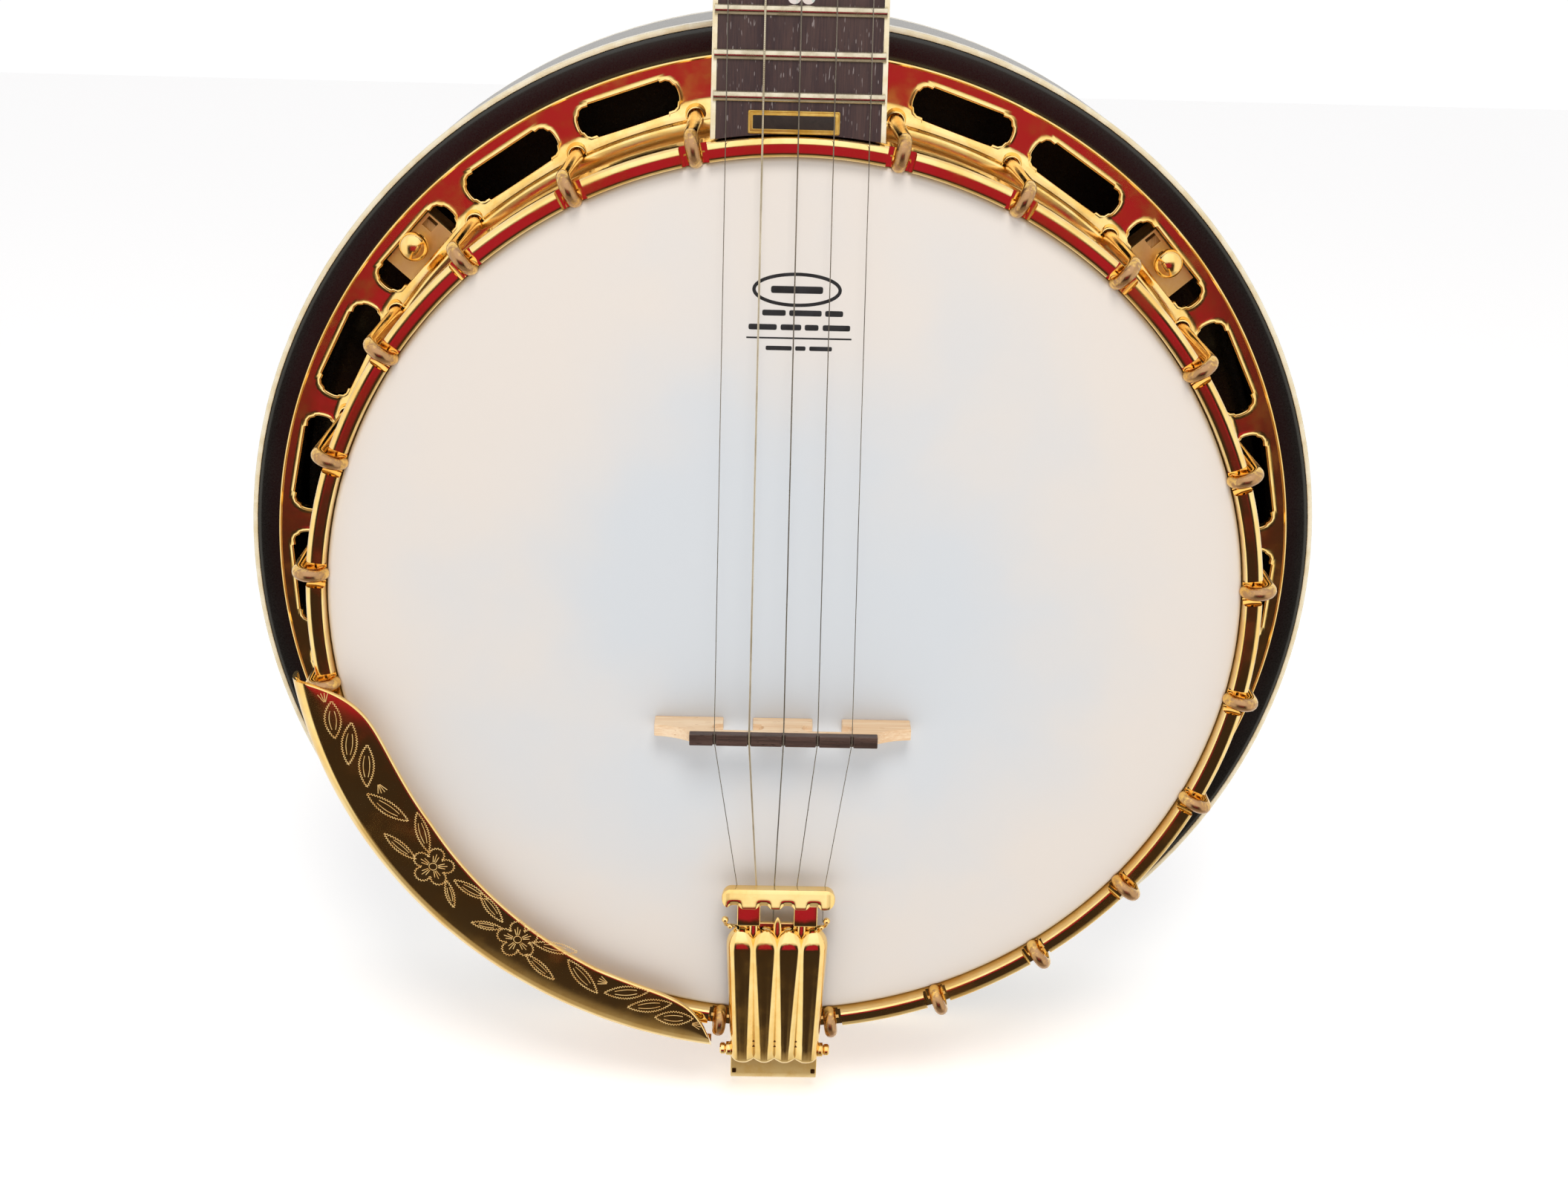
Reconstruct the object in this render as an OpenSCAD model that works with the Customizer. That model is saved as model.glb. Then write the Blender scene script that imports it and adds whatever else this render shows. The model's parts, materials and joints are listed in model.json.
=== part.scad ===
// Five-string resonator banjo. Every part is drawn with the banjo lying on its back: X across the strings,
// Y up the neck, Z towards the strings, from the centre of the resonator's back. upright() stands it on end.

/* [Pot] */
// Diameter of the head over the tone ring
head_d = 279.4; // [279:0.2:279.8]
// Outer diameter of the tension hoop
hoop_d = 292; // [291.6:0.2:292.4]
// Depth from the resonator's back to the front of the tension hoop
pot_depth = 106; // [105.6:0.2:106.4]
// Height of the tension hoop
hoop_h = 13.1; // [12:0.1:13.1]
// How far the head lies below the front of the tension hoop
head_drop = 3.65; // [3.4:0.05:3.9]
// Number of bracket hooks round the pot
hook_count = 24; // [22:2:24]
// Angle from the neck's middle to the first hook on each side
neck_hook_angle = 11.65; // [11.4:0.05:12]
// Radius of the hooks' round rod
hook_rod_r = 2.1; // [1.8:0.1:2.1]
// Wall of the wooden rim
rim_wall = 18.6; // [16:0.2:18.6]
// Height of the wooden rim's lower edge above the resonator's back
rim_foot = 30; // [28:1:32]

/* [Flange and resonator] */
// Outer diameter of the flange
flange_d = 330.4; // [330:0.2:330.8]
// Height of the flange's flat plate above the resonator's back
flange_h = 57.5; // [57.3:0.1:57.7]
// Length of each flange window
window_l = 31.6; // [28:0.2:32]
// Width of each flange window
window_w = 10; // [8:0.5:10]
// Outer diameter of the resonator
resonator_d = 349; // [348:0.5:350]
// Height of the resonator's front edge
resonator_h = 54.2; // [54:0.1:54.3]
// Thickness of the resonator's side
resonator_wall = 8.5; // [8:0.5:9]
// How far the back is arched from its flat middle to its edge
back_arch = 8; // [6:0.5:9]

/* [Neck] */
// Open length of the four long strings from the nut to the twelfth fret, doubled
scale_length = 666.75; // [666:0.25:667.5]
// Number of frets
fret_count = 22; // [20:1:22]
// Width of the fingerboard at the pot
board_w = 49; // [48:0.5:50]
// Width of the nut
nut_w = 31.8; // [31:0.2:32]
// Thickness of the fingerboard
board_t = 6; // [5.5:0.5:6]
// Backward tilt of the fingerboard in degrees
board_tilt = 2.6; // [2.5:0.05:2.7]
// Depth of the wood below the fingerboard
neck_depth = 17; // [16:0.5:18]
// Further backward tilt of the headstock in degrees
headstock_tilt = 14; // [12:1:15]
// Length of the headstock
headstock_l = 176; // [170:2:180]
// Thickness of the headstock's wood
headstock_t = 14; // [13:0.5:15]

/* [Strings, bridge and tailpiece] */
// Height of the bridge's top above the resonator's back
bridge_top = 115.2; // [114.8:0.1:115.6]
// Length of the bridge along its feet
bridge_l = 79.8; // [78:0.2:82]
// Length of the tailpiece's string bar
bar_l = 36.4; // [34:0.2:37]
// Radius of the tailpiece's string bar
bar_r = 3.4; // [3.2:0.1:3.4]
// Length of the fluted lid
lid_l = 51; // [50:0.5:51]

/* [Tuners] */
// Radius of the string posts
post_r = 3.15; // [3:0.05:3.15]
// Radius of the planetary gear housings
housing_r = 9.4; // [9:0.1:10]
// Radius of the tuner knobs across their long way
knob_r = 10; // [9:0.5:10.5]

/* [Hidden] */
$fn = 72;
fit = 0.05;
gap = 0.3;

// Pot radii and heights
head_r = head_d / 2;
hoop_r = hoop_d / 2;
hoop_top = pot_depth;
hoop_foot = hoop_top - hoop_h;
skin_t = 0.35;
tone_top = hoop_top - head_drop - skin_t;
head_top = tone_top + skin_t;
rim_r = head_r - 0.1;
rim_in_r = rim_r - rim_wall;
skirt_foot = 79.1;
hoop_in_r = head_r + skin_t + 0.2;
flesh_top = hoop_foot - 0.1;
flesh_foot = flesh_top - 4.8;

// Hooks: a rod outside the hoop that bends over into a notch
hook_r = hoop_r + hook_rod_r + gap;
arch_r = 3.6;
arch_z = hoop_top - 3.4;
hook_foot = 42;
hook_pitch = (360 - 2 * neck_hook_angle) / (hook_count - 1);
function hook_angle(i) = 90 + neck_hook_angle + i * hook_pitch;
function window_angle(i) = hook_angle(i) + hook_pitch / 2;

// Flange and resonator
flange_r = flange_d / 2;
flange_t = 2.5;
flange_in_r = rim_r + 0.3;
window_r = 155.2;
neck_gap = 25.4;
gap_edge_y = hoop_r + 1.3;
resonator_r = resonator_d / 2;
binding_w = 1.6;
binding_h = 6;
ledge_r = 161;
ledge_h = 8.2;
floor_t = 5;
flat_back_r = 60;
screw_r = 156.2;
screw_windows = [2, 8, 14, 20];
screw_angles = [for (i = screw_windows) window_angle(i)];

// Rods and bolts through the pot
rod_r = 4.75;
bolt_r = 3.9;
rod_zs = [42, 72];
rod_half = 114;

// Neck frame: its plane is the fingerboard's surface
board_pot_y = 150;
board_pot_z = 104;
board_z0 = board_pot_z + board_pot_y * tan(board_tilt);
last_fret_y = 156.4;
function fret_share(n) = 1 - pow(2, -n / 12);
nut_v = last_fret_y / cos(board_tilt) + scale_length * fret_share(22);
nut_t = 4.8;
nut_cx = 3.8;
step_v = nut_v - scale_length * fret_share(5) + 3.5;
binding_t = 1.5;
heel_depth = 66;
cap_t = 3;
heel_v = 176;
shaft_v = 232;
fret_h = 1.1;
fret_r = 1.6;

// Headstock frame: its plane is the face of the overlay
overlay_t = 1.6;
face_w = -1.5;
head_v = nut_v + nut_t;
posts = [[22, 42], [20, 104], [-20, 104], [-22, 42]];
wound_r = 4.2;
wound_s = 7;

// Fifth-string peg
peg_v = step_v + 27;
peg_w = -11;

// Strings from the first (treble) to the fifth (short); radius, then X at tailpiece, bridge and nut
string_r = [0.127, 0.152, 0.203, 0.29, 0.127];
tail_x = [14.6, 5.7, -1.4, -7, -13];
bridge_x = [21.3, 10.7, 0.2, -10.4, -21.1];
nut_x = [16, 7.8, -0.4, -8.6, -18.5];
bridge_y = -35.4;
string_at_nut = 1.2;

// Tailpiece
bar_y = -92.6;
bar_z = 110.9;
plate_front = -103.5;
plate_z = 106.6;
plate_t = 1.3;
pin_y = -151.5;
pin_z = 108;
pin_r = 1.3;
lid_tail = 4.2;
lid_front = pin_y - lid_tail + lid_l;
flute_r = 4.9;
flute_pitch = 7.8;
bracket_w = 29;

// ---------- shared shapes and frames ----------

// Stands the banjo up: the neck points up and the strings face -Y
module upright() rotate([90, 0, 0]) children();

// Turns a drawing made at the right-hand side of the pot to an angle round the pot
module at_angle(a) rotate([0, 0, a]) children();

module ring(inner, outer, bottom, top)
  rotate_extrude() translate([inner, bottom]) square([outer - inner, top - bottom]);

module hex_nut(across_corners_r, height, bore_r) difference() {
  cylinder(r = across_corners_r, h = height, $fn = 6);
  translate([0, 0, -1]) cylinder(r = bore_r, h = height + 2, $fn = 48);
}

// A rod along Y from one place to another
module rod_y(y0, y1, x, z, r) translate([x, y1, z]) rotate([90, 0, 0]) cylinder(r = r, h = y1 - y0, $fn = 48);

// A rod along X
module rod_x(x0, x1, y, z, r) translate([x0, y, z]) rotate([0, 90, 0]) cylinder(r = r, h = x1 - x0, $fn = 48);

module box(lo, hi) translate(lo) cube(hi - lo);

module neck_frame() translate([0, 0, board_z0]) rotate([-board_tilt, 0, 0]) children();

module head_frame() neck_frame()
  translate([nut_cx, head_v, face_w]) rotate([-headstock_tilt, 0, 0]) children();

function from_neck(p) = [
  p[0],
  p[1] * cos(board_tilt) + p[2] * sin(board_tilt),
  board_z0 - p[1] * sin(board_tilt) + p[2] * cos(board_tilt)
];

function from_head(p) = from_neck([
  p[0] + nut_cx,
  head_v + p[1] * cos(headstock_tilt) + p[2] * sin(headstock_tilt),
  face_w - p[1] * sin(headstock_tilt) + p[2] * cos(headstock_tilt)
]);

// ---------- pot ----------

module rim() color("tan") difference() {
  rotate_extrude() polygon([
    [rim_in_r, rim_foot], [rim_r, rim_foot], [rim_r, skirt_foot - 0.1], [rim_r - 2.8, skirt_foot - 0.1],
    [rim_r - 2.8, tone_top - 4.6], [rim_in_r + 3.1, tone_top - 4.6],
    [rim_in_r + 3.1, tone_top - 11.1], [rim_in_r, tone_top - 11.1]
  ]);
  for (z = rod_zs) rod_y(-150, 150, 0, z, bolt_r + 0.2);
}

module tone_ring() color("goldenrod") rotate_extrude() polygon([
  [rim_in_r, tone_top - 11], [rim_in_r + 3, tone_top - 11], [rim_in_r + 3, tone_top - 4.5],
  [head_r - 2.8, tone_top - 4.5], [head_r - 2.8, skirt_foot], [head_r, skirt_foot],
  [head_r, tone_top - 1], [head_r - 1, tone_top], [rim_in_r, tone_top]
]);

// One window: a rectangle with a narrower round end on each short side, which leaves cusps at its corners
module window_outline() {
  end_r = window_w * 0.42;
  square([window_w, window_l - 2 * end_r - 1], center = true);
  for (side = [-1, 1]) translate([0, side * (window_l / 2 - end_r)]) circle(r = end_r);
}

module flange() color("gold") difference() {
  rotate_extrude() polygon([
    [flange_in_r, flange_h - 7.5], [flange_in_r + 3.6, flange_h - 7.5], [flange_in_r + 3.6, flange_h - flange_t],
    [flange_r - 1.8, flange_h - flange_t], [flange_r, resonator_h + 0.2], [flange_r, flange_h + 0.1],
    [flange_r - 0.6, flange_h + 0.6], [flange_r - 1.6, flange_h + 0.2], [flange_r - 2.8, flange_h - 0.2],
    [flange_r - 13.7, flange_h], [flange_r - 16, flange_h + 1.1], [flange_r - 18, flange_h + 3.7],
    [flange_r - 18.8, flange_h + 4.5], [flange_in_r, flange_h + 4.5]
  ]);
  for (i = [0 : hook_count - 2]) at_angle(window_angle(i))
    translate([window_r, 0, flange_h - 10]) linear_extrude(20) window_outline();
  for (i = [0 : hook_count - 1]) at_angle(hook_angle(i))
    translate([hook_r, 0, flange_h - 10]) cylinder(r = hook_rod_r + 0.2, h = 20);
  box([-neck_gap, gap_edge_y, 0], [neck_gap, flange_r + 5, pot_depth]);
}

module head_skin() color("white") rotate_extrude() polygon([
  [0, tone_top], [head_r + fit, tone_top], [head_r + fit, flesh_foot], [head_r + fit + skin_t, flesh_foot],
  [head_r + fit + skin_t, head_top], [0, head_top]
]);

module flesh_hoop() color("silver") ring(head_r + skin_t + 2 * fit, hoop_r - 2.6, flesh_foot, flesh_top);

module tension_hoop() color("gold") difference() {
  rotate_extrude() polygon([
    [hoop_in_r, hoop_foot], [hoop_r, hoop_foot], [hoop_r, hoop_top], [hoop_in_r + 0.6, hoop_top],
    [hoop_in_r, hoop_top - 0.6]
  ]);
  for (i = [0 : hook_count - 1]) at_angle(hook_angle(i)) {
    box([hoop_in_r - 2, -4, hoop_top - 3], [hoop_r + 2, 4, hoop_top + 2]);
    box([hoop_in_r - 2, -3, arch_z - 0.3], [hook_r - 2 * arch_r + hook_rod_r + 0.1, 3, hoop_top + 2]);
  }
}

module bracket_hook() {
  translate([hook_r, 0, hook_foot]) cylinder(r = hook_rod_r, h = arch_z - hook_foot, $fn = 48);
  translate([hook_r - arch_r, 0, arch_z]) rotate([90, 0, 0])
    rotate_extrude(angle = 180) translate([arch_r, 0]) circle(r = hook_rod_r, $fn = 48);
}

module bracket_hooks() color("gold")
  for (i = [0 : hook_count - 1]) at_angle(hook_angle(i)) bracket_hook();

module bracket_nuts() color("gold")
  for (i = [0 : hook_count - 1]) at_angle(hook_angle(i))
    translate([hook_r, 0, flange_h - flange_t - 12]) rotate([0, 0, 30])
      hex_nut(4.2, 11.9, hook_rod_r + fit);

module coordinator_rod(z) color("silver") difference() {
  rod_y(-rod_half, rod_half, 0, z, rod_r);
  rod_y(-rod_half - 1, -rod_half + 20, 0, z, bolt_r + fit);
  rod_y(rod_half - 20, rod_half + 1, 0, z, bolt_r + fit);
}

// Jam nuts inside the rim, and the hexagon-head bolts that hold the rods and the tailpiece bracket at the tail
module coordinator_nuts() color("silver") for (z = rod_zs) {
  for (side = [-1, 1]) translate([0, side * (rod_half + 3.4), z]) rotate([90, 0, 0])
    translate([0, 0, -3.3]) hex_nut(8, 6.6, bolt_r + fit);
  rod_y(-rim_r - 3.2, -rod_half + 18, 0, z, bolt_r);
  translate([0, -rim_r - 2.8, z]) rotate([90, 0, 0]) cylinder(r = 6.6, h = 5, $fn = 6);
}

module neck_lag_bolts() color("silver") for (z = rod_zs) rod_y(rod_half - 18, heel_v - 4, 0, z, bolt_r);

// ---------- tailpiece ----------

module tailpiece_bracket() color("gold") {
  half = bracket_w / 2;
  tongue_z = 100.6;
  tongue_y = -147.4;
  back_y = -169;
  shelf_z = 85.6;
  shelf_half = 10;
  rim_y = -rim_r - 0.5;
  tab_z = 64;
  t = 1.6;
  ear_x = 13.3;
  ear_r = 2.4;
  ear_half = 0.6;
  difference() {
    union() {
      box([-half, back_y, tongue_z], [half, tongue_y, tongue_z + t]);
      box([-half, back_y, shelf_z], [half, back_y + t, tongue_z + t]);
      box([-shelf_half, back_y, shelf_z], [shelf_half, rim_y, shelf_z + t]);
      box([-shelf_half, rim_y - t, tab_z], [shelf_half, rim_y, shelf_z + t]);
      for (side = [-1, 1]) difference() {
        union() {
          box([side * ear_x - ear_half, pin_y - ear_r, tongue_z], [side * ear_x + ear_half, pin_y + ear_r, pin_z]);
          rod_x(side * ear_x - ear_half, side * ear_x + ear_half, pin_y, pin_z, ear_r);
        }
        rod_x(side * ear_x - 1, side * ear_x + 1, pin_y, pin_z, pin_r + fit);
      }
    }
    rod_y(-rim_r - 3, -rim_r, 0, rod_zs[1], bolt_r + 0.2);
  }
}

// Flat plate under the lid, two arms that rise over the strings, and the bar that presses the strings down
module tailpiece_base() color("gold") difference() {
  union() {
    box([-12, pin_y, plate_z], [12, plate_front, plate_z + plate_t]);
    rod_x(-12, 12, pin_y, pin_z, 2.4);
    for (side = [-1, 1]) translate([side * 8.6, plate_front - 7, plate_z + plate_t - 0.2])
      rotate([9.5, 0, 0]) box([-3.9, 0, 0], [3.9, -plate_front + 7 + bar_y + 1.5, 1.4]);
    rod_x(-bar_l / 2 + bar_r, bar_l / 2 - bar_r, bar_y, bar_z, bar_r);
    for (side = [-1, 1]) translate([side * (bar_l / 2 - bar_r), bar_y, bar_z]) sphere(r = bar_r, $fn = 48);
  }
  rod_x(-20, 20, pin_y, pin_z, pin_r + fit);
  translate([0, -142.8, 100]) cylinder(r = 1.5 + fit, h = 10, $fn = 48);
}

// Cross-section of the lid: four round flutes side by side
module flutes(r) for (i = [-1.5 : 1 : 1.5]) translate([i * flute_pitch, pin_z - 0.2]) circle(r = r);

// Side view of the lid: level on top, rounded at its front end
module lid_side() {
  round_r = 5.2;
  translate([lid_front - round_r, pin_z - 0.2]) circle(r = round_r);
  translate([pin_y - lid_tail, 90]) square([lid_l - round_r, 30]);
}

module lid_body(r, tail, front) intersection() {
  translate([0, front, 0]) rotate([90, 0, 0]) linear_extrude(front - tail) flutes(r);
  translate([-20, 0, 0]) rotate([90, 0, 90]) linear_extrude(40) lid_side();
  box([-20, tail, plate_z + plate_t + 0.2], [20, front, 120]);
}

module tailpiece_lid() color("gold") difference() {
  union() {
    difference() {
      lid_body(flute_r, pin_y - lid_tail, lid_front);
      lid_body(flute_r - 1.2, pin_y - lid_tail + 1, lid_front - 1.4);
    }
    for (side = [-1, 1]) rod_x(side * 16 - 0.6, side * 16 + 0.6, pin_y, pin_z, 2.4);
  }
  rod_x(-14.5, 14.5, pin_y, pin_z, 3.1);
  box([-14.4, pin_y - 3, 90], [14.4, plate_front + 5, pin_z + 2.2]);
  for (side = [-1, 1]) box([side * 13.3 - 1, pin_y - 6, 90], [side * 13.3 + 1, pin_y, pin_z + 3.6]);
  rod_x(-20, 20, pin_y, pin_z, pin_r + fit);
}

module tailpiece_hinge_pin() color("gold") {
  rod_x(-17, 17, pin_y, pin_z, pin_r);
  for (side = [-1, 1]) rod_x(side * 17.5 - 0.7, side * 17.5 + 0.7, pin_y, pin_z, 1.9);
}

module tailpiece_tension_screw() color("silver") translate([0, -142.8, 0]) difference() {
  union() {
    translate([0, 0, hoop_top + 0.1]) cylinder(r = 1.5, h = 3, $fn = 48);
    translate([0, 0, plate_z + plate_t + 0.1]) cylinder(r = 2.6, h = 1.6, $fn = 48);
  }
  box([-3, -0.4, plate_z + plate_t + 1], [3, 0.4, 112]);
}

// ---------- armrest ----------

armrest_z = hoop_top + 2.8;
armrest_t = 1.5;
armrest_out = 153;

// The armrest's inner edge keeps near the head's edge and swings out to a tip at each end
armrest_a0 = 187.7;
armrest_a1 = 262;
function armrest_inner(a) = 129.6
  + 4.4 * min(1, max(0, (a - 212) / 32))
  + 21 * exp((armrest_a0 - a) / 3.2)
  + 16.8 * exp((a - armrest_a1) / 2.8);

module armrest_sector() polygon(concat(
  [for (a = [armrest_a0, 212, 237, armrest_a1]) [cos(a), sin(a)] * armrest_out * 1.1],
  [for (a = [armrest_a1 : -2.4 : armrest_a0]) [cos(a), sin(a)] * armrest_inner(a)]
));

module armrest() color("gold") translate([0, 0, armrest_z]) difference() {
  intersection() {
    translate([0, 0, -7.5]) linear_extrude(armrest_t + 7.5) armrest_sector();
    translate([0, 0, -9]) cylinder(r = armrest_out, h = 20);
  }
  translate([0, 0, -10]) cylinder(r = armrest_out - 1.4, h = 10);
}

// C-shaped straps that grip the hoop from outside, with a screw through each
module armrest_clamps() color("gold") for (i = [7, 9]) at_angle(window_angle(i)) {
  strap_r = hoop_r + 1;
  difference() {
    union() {
      box([strap_r, -4.5, hoop_foot - 2], [strap_r + 1.4, 4.5, armrest_z - 0.05]);
      box([hoop_r - 2.2, -4.5, hoop_foot - 2], [strap_r + 1.4, 4.5, hoop_foot - 0.4]);
      box([strap_r - 5, -4.5, armrest_z - 1.4], [strap_r + 1.4, 4.5, armrest_z - 0.05]);
    }
    rod_x(strap_r - 2, strap_r + 4, 0, hoop_foot + 6, 2);
  }
  rod_x(hoop_r + 0.05, strap_r + 2.2, 0, hoop_foot + 6, 1.95);
  rod_x(strap_r + 1.5, strap_r + 3.6, 0, hoop_foot + 6, 3.2);
}

// ---------- bridge ----------

bridge_foot = head_top + 0.05;
cap_h = 2.7;

// Outline of the maple body across the strings: three feet, two arched openings and a low ear at each end
module bridge_outline() {
  half = bridge_l / 2;
  crown = bridge_top - cap_h - bridge_foot;
  ear = 6.4;
  shoulder = 12;
  scoop_r = (pow(shoulder, 2) + pow(crown - ear, 2)) / (2 * (crown - ear));
  slot_r = 2.1;
  slot_mid = crown - 1.3 - slot_r;
  slot_half = 5.8;
  difference() {
    square([2 * half, 2 * crown], center = true);
    translate([-half - 1, -2 * crown]) square([2 * half + 2, 2 * crown]);
    for (side = [-1, 1]) {
      translate([side * (half + 1), ear + scoop_r]) circle(r = scoop_r, $fn = 192);
      translate([side * 13.9, 0]) {
        translate([-4.6, -1]) square([9.2, slot_mid + 1]);
        translate([-slot_half, slot_mid - slot_r]) square([2 * slot_half, 2 * slot_r]);
        for (end = [-1, 1]) translate([end * slot_half, slot_mid]) circle(r = slot_r);
      }
    }
  }
}

// Side view of the bridge: upright on the tail side, leaning in a little on the neck side
module bridge_wedge() {
  height = bridge_top - bridge_foot;
  translate([-60, 0, 0]) rotate([90, 0, 90]) linear_extrude(120) polygon([
    [bridge_y - 1.6, 0], [bridge_y + 2.5, 0], [bridge_y + 2.1, height], [bridge_y - 1.6, height]
  ]);
}

module bridge() color("burlywood") translate([0, 0, bridge_foot]) intersection() {
  translate([0, bridge_y + 10, 0]) rotate([90, 0, 0]) linear_extrude(20) bridge_outline();
  bridge_wedge();
}

module bridge_cap() color("saddlebrown") difference() {
  translate([0, 0, bridge_foot]) intersection() {
    bridge_wedge();
    box([-28.8, bridge_y - 5, bridge_top - cap_h - bridge_foot], [29.2, bridge_y + 5, bridge_top - bridge_foot]);
  }
  for (i = [0 : 4]) box([bridge_x[i] - 0.5, bridge_y - 5, bridge_top - 0.9], [bridge_x[i] + 0.5, bridge_y + 5, 130]);
}

// ---------- strings ----------

// A round cord of eight sides through a list of points
module cord(points, r) {
  sides = 8;
  last = len(points) - 1;
  function unit(v) = v / norm(v);
  function along(i) = unit(points[min(i + 1, last)] - points[max(i - 1, 0)]);
  function across(i) = unit(cross(along(i), [0, 0, 1]));
  function up(i) = cross(across(i), along(i));
  polyhedron(
    points = [for (i = [0 : last], k = [0 : sides - 1])
      points[i] + r * (cos(360 * k / sides) * across(i) + sin(360 * k / sides) * up(i))],
    faces = concat(
      [[for (k = [0 : sides - 1]) k]],
      [for (i = [0 : last - 1], k = [0 : sides - 1])
        [i * sides + k, (i + 1) * sides + k, (i + 1) * sides + (k + 1) % sides, i * sides + (k + 1) % sides]],
      [[for (k = [sides - 1 : -1 : 0]) last * sides + k]]
    )
  );
}

function string_start(i) = [
  [tail_x[i], plate_front + 0.05, bar_z - bar_r - 0.5],
  [tail_x[i], bar_y, bar_z - bar_r - 0.5],
  [bridge_x[i], bridge_y, bridge_top]
];

function tangent_u(i) = posts[i][0] - sign(posts[i][0]) * (wound_r + string_r[i] + 0.2);

function string_end(i) = i < 4 ? [
  from_neck([nut_x[i], nut_v + 0.3, string_at_nut]),
  from_head([tangent_u(i), posts[i][1], wound_s])
] : [
  from_neck([nut_x[i], step_v - 3.5, string_at_nut + 0.25]),
  from_neck([nut_x[i] - 2, peg_v, peg_w + wound_r + string_r[i] + 0.2])
];

module string(i) color("silver") cord(concat(string_start(i), string_end(i)), string_r[i]);

// ---------- resonator ----------

function back_z(r) = r < flat_back_r ? 0 : back_arch * pow((r - flat_back_r) / (resonator_r - flat_back_r), 2);

module resonator_shell() color([0.05, 0.04, 0.04]) difference() {
  edge = resonator_r - binding_w;
  rotate_extrude() polygon(concat(
    [[0, 0]],
    [for (r = [flat_back_r : 11 : edge]) [r, back_z(r)]],
    [[edge, back_arch], [edge, back_arch + binding_h], [resonator_r, back_arch + binding_h],
     [resonator_r, resonator_h - binding_h], [edge, resonator_h - binding_h], [edge, resonator_h],
     [ledge_r, resonator_h], [ledge_r, resonator_h - ledge_h], [resonator_r - resonator_wall, resonator_h - ledge_h],
     [resonator_r - resonator_wall, back_arch + floor_t]],
    [for (r = [edge - 12 : -11 : flat_back_r]) [r, back_z(r) + floor_t]],
    [[0, floor_t]]
  ));
  box([-21, 150, 31], [21, 200, 100]);
}

// Pale bindings let into the front and back corners, cut through where the heel passes
module resonator_bindings() color("ivory") difference() {
  union() {
    ring(resonator_r - binding_w + 0.02, resonator_r, resonator_h - binding_h + 0.02, resonator_h);
    ring(resonator_r - binding_w + 0.02, resonator_r, back_arch, back_arch + binding_h - 0.02);
  }
  box([-21, 150, 31], [21, 200, 100]);
}

lug_hole_r = 2.42;

module resonator_lugs() color("tan") for (a = screw_angles) at_angle(a) difference() {
  intersection() {
    union() {
      box([150, -8, 34], [170, 8, resonator_h - ledge_h - 0.1]);
      box([150, -8, 34], [ledge_r - 0.3, 8, 52.4]);
    }
    cylinder(r = resonator_r - resonator_wall - 0.05, h = 100);
  }
  translate([screw_r, 0, 30]) cylinder(r = lug_hole_r, h = 30, $fn = 48);
}

// Plates under the flange that carry the thumb screws, each with a square hole beside the screw
module flange_brackets() color("gold") for (a = screw_angles) at_angle(a) difference() {
  union() {
    box([147.5, -10, 52.7], [ledge_r - 1.2, 10, 54.2]);
    for (side = [-1, 1]) box([147.5, side * 9.2 - 0.8, 52.7], [150.2, side * 9.2 + 0.8, flange_h - flange_t - 0.05]);
  }
  translate([screw_r, 0, 50]) cylinder(r = 2.6, h = 10, $fn = 48);
  side = a > 90 && a < 270 ? -1 : 1;
  box([screw_r - 1, side * 7.6 - 1.8, 50], [screw_r + 2.6, side * 7.6 + 1.8, 60]);
}

module resonator_screw(i) color("gold") at_angle(screw_angles[i]) translate([screw_r, 0, 0]) difference() {
  union() {
    translate([0, 0, 36]) cylinder(r = lug_hole_r - 0.04, h = 20, $fn = 48);
    translate([0, 0, 54.4]) cylinder(r = 3.1, h = 3.6, $fn = 48);
    translate([0, 0, flange_h + gap]) cylinder(r = 4.5, h = 2, $fn = 48);
    intersection() {
      translate([0, 0, 57.2]) sphere(r = 5.2, $fn = 48);
      translate([0, 0, flange_h + gap + 2]) cylinder(r = 4.5, h = 5, $fn = 48);
    }
  }
  box([-6, -0.5, 61.2], [6, 0.5, 66]);
}

// ---------- neck ----------

// Edge of the fingerboard on the treble side, and on the bass side with and without the fifth string's width
function treble_x(v) = board_w / 2 - (v - board_pot_y) / (nut_v - board_pot_y) * (board_w / 2 - nut_cx - nut_w / 2);
function bass_x(v) = -treble_x(v);
function short_bass_x(v) = nut_cx - nut_w / 2 - (nut_v - v) * 0.004;
function left_x(v) = v < step_v ? bass_x(v) : short_bass_x(v);

// Space that the pot takes out of the neck's heel and the fingerboard's end
module pot_clearance() {
  rotate_extrude() polygon([
    [0, 0], [rim_r + 0.5, 0], [rim_r + 0.5, flesh_foot - 0.3],
    [hoop_r + 0.5, flesh_foot - 0.3], [hoop_r + 0.5, 200], [0, 200]
  ]);
  box([-neck_gap, 100, flange_h - 7.7], [neck_gap, gap_edge_y + gap, flange_h + 4.8]);
}

module neck_section(v, x0, x1, depth) translate([0, v, 0]) rotate([90, 0, 0]) linear_extrude(0.2) polygon([
  for (a = [0 : 7.5 : 180]) [(x0 + x1) / 2 + (x1 - x0) / 2 * cos(a), -board_t - depth * pow(sin(a), 0.75)]
]);

module heel() {
  intersection() {
    translate([-30, 0, 0]) rotate([90, 0, 90]) linear_extrude(60) polygon(concat(
      [[130, -board_t], [130, -heel_depth]],
      [for (a = [0 : 10 : 90]) [
        shaft_v - (shaft_v - heel_v) * cos(a),
        -heel_depth + (heel_depth - board_t - neck_depth) * sin(a)]],
      [[shaft_v + 4, -board_t]]
    ));
    translate([0, 250, 0]) rotate([90, 0, 0]) linear_extrude(130) polygon([
      [24, -board_t], [23.4, -14], [20, -34], [17, -heel_depth - 1],
      [-17, -heel_depth - 1], [-20, -34], [-23.4, -14], [-24, -board_t]
    ]);
  }
}

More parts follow.
